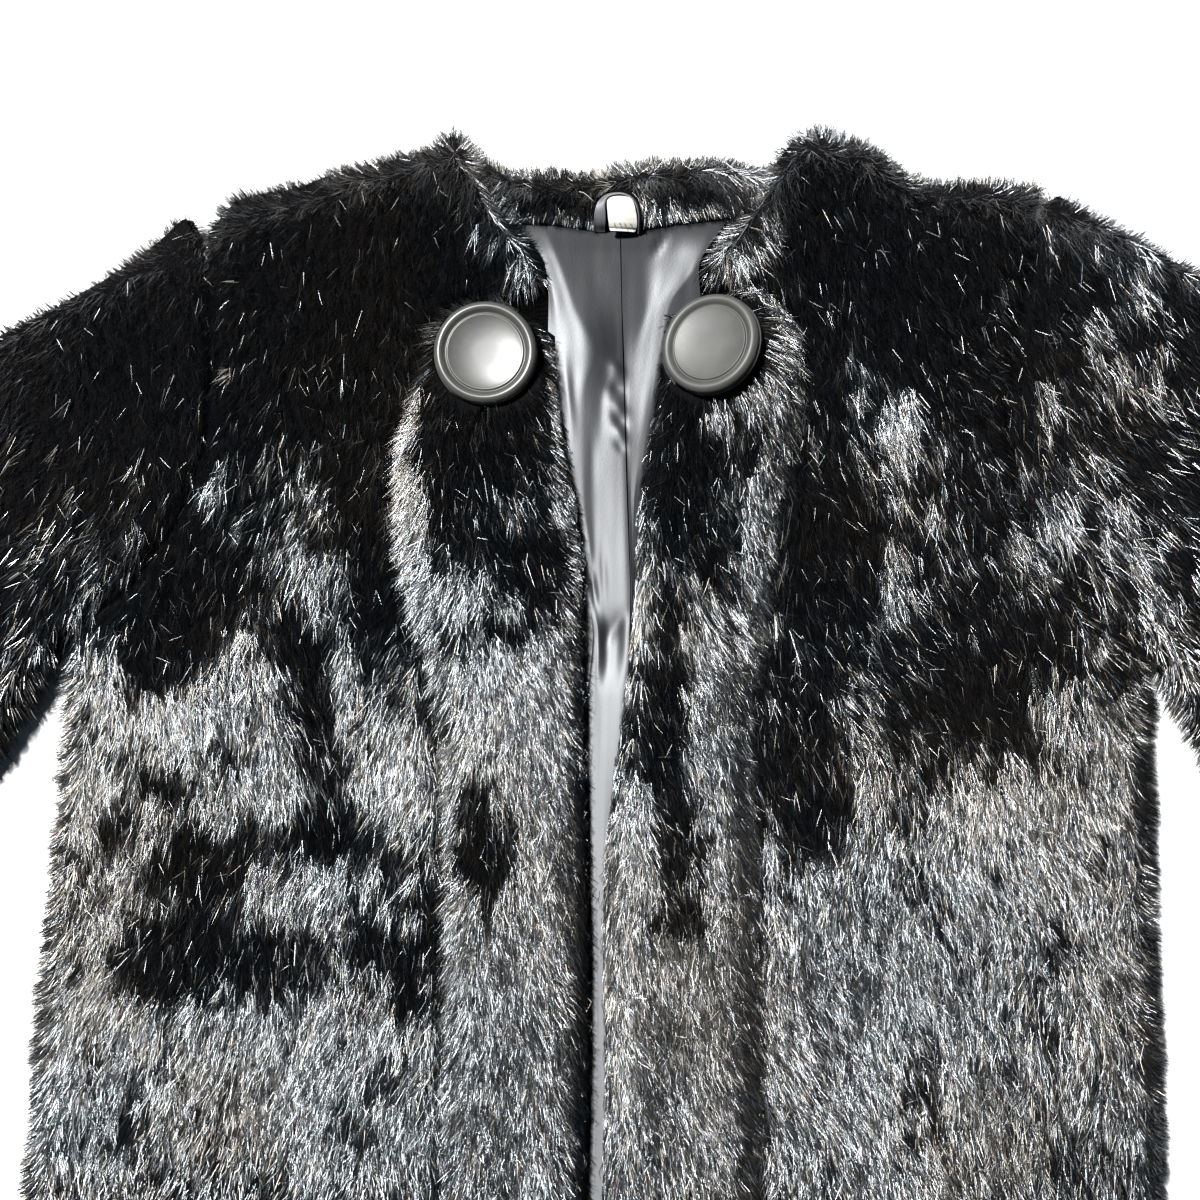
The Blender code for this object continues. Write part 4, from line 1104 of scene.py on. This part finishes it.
def pewter_lacquer(name, smooth, dull, mirror):
    pewter, shader = new_material(f"{name}_lacquer", (0.03, 0.03, 0.03), smooth,
                                  Specular_IOR_Level=mirror)
    tarnish = group_node(pewter, mottle, Scale=120.0, Detail=5.0)
    shade_between(pewter, shader, tarnish.outputs["Mask"],
                  (0.020, 0.022, 0.023), (0.042, 0.040, 0.034))
    rough_between(pewter, shader, tarnish.outputs["Fine"], smooth, dull)
    scuffs = add(pewter.node_tree, "ShaderNodeTexNoise", Scale=2600.0, Detail=3.0)
    where = add(pewter.node_tree, "ShaderNodeTexCoord")
    pewter.node_tree.links.new(where.outputs["Object"], scuffs.inputs["Vector"])
    raise_by(pewter, shader, scuffs.outputs["Fac"], 0.00003, 0.6)
    return pewter


lacquers = {name: pewter_lacquer(name, *finish) for name, finish in LACQUER.items()}


# %% Turn a button and set it on its seat
def turned_button(name):
    x, drop, seat, tilt, toward = BUTTONS[name]
    lean, turn = math.radians(tilt), math.radians(toward)
    normal = Vector((math.sin(lean) * math.cos(turn), math.sin(lean) * math.sin(turn),
                     math.cos(lean)))
    profile = np.array(BUTTON_PROFILE)
    fine = [profile[0]]
    for a, b, c, d in zip(profile[:-3], profile[1:-2], profile[2:-1], profile[3:]):
        for u in (0.33, 0.67, 1.0):           # a curve through all the points
            fine.append(0.5 * (2 * b + (c - a) * u + (2 * a - 5 * b + 4 * c - d) * u ** 2
                               + (3 * b - 3 * c + d - a) * u ** 3))
    bm = bmesh.new()
    verts = [bm.verts.new((max(r, 0) * MM, 0, z * MM)) for r, z in fine] + [bm.verts.new((0, 0, 0))]
    edges = [bm.edges.new(pair) for pair in zip(verts[:-1], verts[1:])]
    bmesh.ops.spin(bm, geom=verts + edges, cent=(0, 0, 0), axis=(0, 0, 1), angle=2 * math.pi,
                   steps=BUTTON_STEPS, use_duplicate=False)
    bmesh.ops.remove_doubles(bm, verts=bm.verts, dist=1e-6)
    bmesh.ops.dissolve_degenerate(bm, edges=bm.edges, dist=1e-7)
    bmesh.ops.recalc_face_normals(bm, faces=bm.faces)
    turn_to = normal.to_track_quat("Z", "Y")
    for v in bm.verts:
        v.co = turn_to @ v.co + place(x, drop, seat)
    mesh = mesh_from(bm, f"{name}_turned")
    print(mesh.name, len(mesh.polygons), "faces")
    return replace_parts(new_piece(mesh.name, mesh, "button", lacquers[name]), name)


for name in BUTTONS:
    turned_button(name)

# %% [markdown]
# ## Hang loop and tab
# The loop is a narrow ribbon that leaves the neck seam flat, turns on its edge over
# the arch and comes down again. Inside it sits a small blank white tab held by a
# few tan stitches. Both are drawn as lines over the neck band: a ray cast down onto
# the band's solid gives the height at any place, so they sit on it.

# %% Height of the neck band
neck_tree = tree_of(["back_neck_band"])


def neck_height(x, drop):
    """Height of the neck band, or of the flat lining below its foot, in mm."""
    return max(FLAT_LINING + NECK_RISE, height_at(neck_tree, x, drop, 0))


# %% Woven materials
def woven(name, color, roughness, threads, low, high, relief=None):
    """A cloth whose weave shows in its colour, and in relief by so many metres."""
    material, shader = new_material(name, color, roughness)
    height = group_node(material, weave, Threads=threads, Cross=0.5).outputs["Height"]
    shade_between(material, shader, height, low, high)
    if relief is not None:
        raise_by(material, shader, height, relief)
    return material


ribbon = woven("grey_ribbon", (0.03, 0.03, 0.033), 0.42, 2600.0,
               (0.04, 0.04, 0.044), (0.09, 0.09, 0.096), relief=0.00001)
tab = woven("white_tab", (0.5, 0.5, 0.48), 0.7, 1900.0,
            (0.30, 0.295, 0.265), (0.44, 0.435, 0.40), relief=0.00002)
tan = woven("tan_thread", (0.16, 0.09, 0.035), 0.6, 5000.0,
            (0.12, 0.065, 0.025), (0.20, 0.12, 0.05))


# %% Walls between rings of points
def join_rings(bm, rings, capped=True):
    """Faces between rings that follow each other, and a cap at both ends."""
    for ring, following in zip(rings, rings[1:]):
        for k in range(len(ring)):
            n = (k + 1) % len(ring)
            bm.faces.new((ring[k], ring[n], following[n], following[k]))
    if capped:
        bm.faces.new(rings[0])
        bm.faces.new(rings[-1])

# %% Ribbon loop
RIBBON_PATH = [
    # x, drop, height over the band, turn from flat in degrees, width
    (-10.3, 49.0, 0.6, 0, 5.6), (-10.3, 45.8, 0.7, 0, 5.6), (-10.3, 42.5, 0.8, 0, 5.4),
    (-10.1, 38.5, 1.0, 12, 4.6), (-8.8, 35.0, 1.3, 40, 3.6), (-5.6, 32.6, 1.6, 62, 3.0),
    (-0.8, 31.9, 1.7, 68, 2.8), (3.4, 33.0, 1.7, 70, 2.8), (6.6, 36.0, 1.6, 70, 2.8),
    (8.4, 40.0, 1.5, 70, 2.8), (9.0, 43.6, 1.3, 70, 2.8), (9.2, 48.6, 0.9, 60, 2.8),
]
RIBBON_STEPS = 6          # rings between two points of the path
RIBBON_THICK = 0.5
RIBBON_SMOOTHED = 4       # times that its middle line is evened out
RIBBON_EDGE = [(1, 0.5), (0.94, 1), (0.78, 1), (0.72, 0.8), (0.66, 1), (-0.66, 1), (-0.72, 0.8),
               (-0.78, 1), (-0.94, 1), (-1, 0.5)]
RIBBON_SECTION = RIBBON_EDGE + [(-across, -up) for across, up in RIBBON_EDGE]


def ribbon_loop():
    knots = np.arange(len(RIBBON_PATH))
    at = np.arange(0, (len(knots) - 1) * RIBBON_STEPS + 1) / RIBBON_STEPS
    x, drop, over, turn, wide = (smooth_line(knots, column, at) for column in zip(*RIBBON_PATH))
    centres = [place(a, b, neck_height(a, b) + c) for a, b, c in zip(x, drop, over)]
    for _ in range(RIBBON_SMOOTHED):
        centres = [centres[0]] + [(a + 2 * b + c) / 4 for a, b, c in
                                  zip(centres, centres[1:], centres[2:])] + [centres[-1]]
    bm = bmesh.new()
    rings = []
    for k, centre in enumerate(centres):
        along = (centres[min(k + 1, len(at) - 1)] - centres[max(k - 1, 0)]).normalized()
        flat = along.cross(Vector((0, 0, 1))).normalized()
        rise = flat.cross(along)
        angle = math.radians(turn[k])
        across = flat * math.cos(angle) + rise * math.sin(angle)
        up = along.cross(across)
        rings.append([bm.verts.new(centre + (across * a * wide[k] + up * b * RIBBON_THICK) * MM / 2)
                      for a, b in RIBBON_SECTION])
    join_rings(bm, rings)
    bmesh.ops.recalc_face_normals(bm, faces=bm.faces)
    mesh = mesh_from(bm, "ribbon_loop", sharp=50)
    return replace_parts(new_piece(mesh.name, mesh, "ribbon", ribbon), "hang_loop")


loop = ribbon_loop()
print(loop.name, len(loop.data.polygons), "faces")

# %% Blank tab
TAB_ROWS = [
    # drop, left and right edge
    (33.4, -3.6, 1.2), (33.7, -5.4, 3.0), (34.6, -6.6, 4.6), (36.6, -7.0, 5.8), (40.0, -6.7, 6.9),
    (43.5, -6.3, 7.6), (46.0, -5.9, 7.8), (48.2, -5.5, 7.4), (49.2, -5.0, 6.6),
]
TAB_COLUMNS, TAB_LEVELS = 24, 30
TAB_THICK = 0.7
TAB_OVER = 1.0            # height of its underside over the neck band
TAB_BRIDGED = 41.0        # drop below which it bridges the hollow
TAB_ARCH, TAB_TWIST = 0.5, 0.02       # how far it bows across, and how it twists


def tab_height(x, drop):
    """The tab bridges half of the hollow at the foot of the neck band."""
    return (neck_height(x, drop) + neck_height(x, min(drop, TAB_BRIDGED))) / 2


def tab_point(u, x, drop, left, right, level):
    """A point of the tab, at a share u of the way from its left to its right edge."""
    bow = TAB_ARCH * math.sin(3.1 * u)
    height = tab_height((left + right) / 2, drop) + level + bow
    return place(x, drop, height - TAB_TWIST * (x - left) * (drop - 40))


def blank_tab():
    levels = np.linspace(TAB_ROWS[0][0], TAB_ROWS[-1][0], TAB_LEVELS)
    left, right = (smooth_line([row[0] for row in TAB_ROWS], [row[k] for row in TAB_ROWS], levels)
                   for k in (1, 2))
    bm = bmesh.new()
    sheets = []
    for level in (TAB_OVER + TAB_THICK, TAB_OVER):
        sheets.append([[bm.verts.new(tab_point(u, x, drop, a, b, level))
                        for u, x in zip(np.linspace(0, 1, TAB_COLUMNS), np.linspace(a, b, TAB_COLUMNS))]
                       for drop, a, b in zip(levels, left, right)])
    for sheet in sheets:
        for row, following in zip(sheet, sheet[1:]):
            for k in range(TAB_COLUMNS - 1):
                bm.faces.new((row[k], row[k + 1], following[k + 1], following[k]))
    rims = [sheet[0] + [row[-1] for row in sheet[1:]] + sheet[-1][-2::-1]
            + [row[0] for row in sheet[-2:0:-1]] for sheet in sheets]
    join_rings(bm, rims, capped=False)
    bmesh.ops.recalc_face_normals(bm, faces=bm.faces)
    mesh = mesh_from(bm, "blank_tab", sharp=50)
    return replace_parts(new_piece(mesh.name, mesh, "label", tab), "neck_label")


label = blank_tab()
print(label.name, len(label.data.polygons), "faces")

# %% Stitches over the foot of the tab, and one loose thread beside the loop
# x, drop, length
STITCHES = [(-3.2, 46.6, 1.6), (-0.6, 46.2, 1.2), (1.8, 46.6, 1.7), (4.4, 46.1, 1.3)]
STITCH_SLANT, STITCH_ARCH = 0.25, 0.45
# x, drop, height over the neck band
LOOSE_THREAD = [(-20.7, 31.8, 2.0), (-18.6, 32.2, 2.6), (-16.6, 33.6, 2.8), (-14.8, 35.2, 2.4),
                (-12.8, 36.4, 1.4)]
THREAD_SIDES = 6


def threads_of(name, paths, radius, material, slot):
    """Thin round threads along lists of points in metres, as one piece."""
    circle = [Vector((math.cos(a), math.sin(a), 0))
              for a in np.arange(THREAD_SIDES) * 2 * math.pi / THREAD_SIDES]
    bm = bmesh.new()
    for path in paths:
        rings = []
        for k, centre in enumerate(path):
            way = path[min(k + 1, len(path) - 1)] - path[max(k - 1, 0)]
            turn = way.to_track_quat("Z", "Y")
            rings.append([bm.verts.new(centre + turn @ spoke * radius * MM) for spoke in circle])
        join_rings(bm, rings)
    bmesh.ops.recalc_face_normals(bm, faces=bm.faces)
    mesh = mesh_from(bm, name)
    print(name, len(mesh.polygons), "faces")
    return new_piece(name, mesh, slot, material)


bows = []
for x, drop, length in STITCHES:
    level = tab_height(x, drop) + TAB_OVER + TAB_THICK + 0.2
    bows.append([place(x + STITCH_SLANT * u, drop + length * u, level + STITCH_ARCH * (1 - u * u))
                 for u in np.linspace(-1, 1, 9) * 0.5])
threads_of("tab_stitches", bows, 0.16, tan, "label")
strand = [place(x, drop, neck_height(x, drop) + over) for x, drop, over in LOOSE_THREAD]
threads_of("loose_thread", [strand], 0.11, tab, "label")
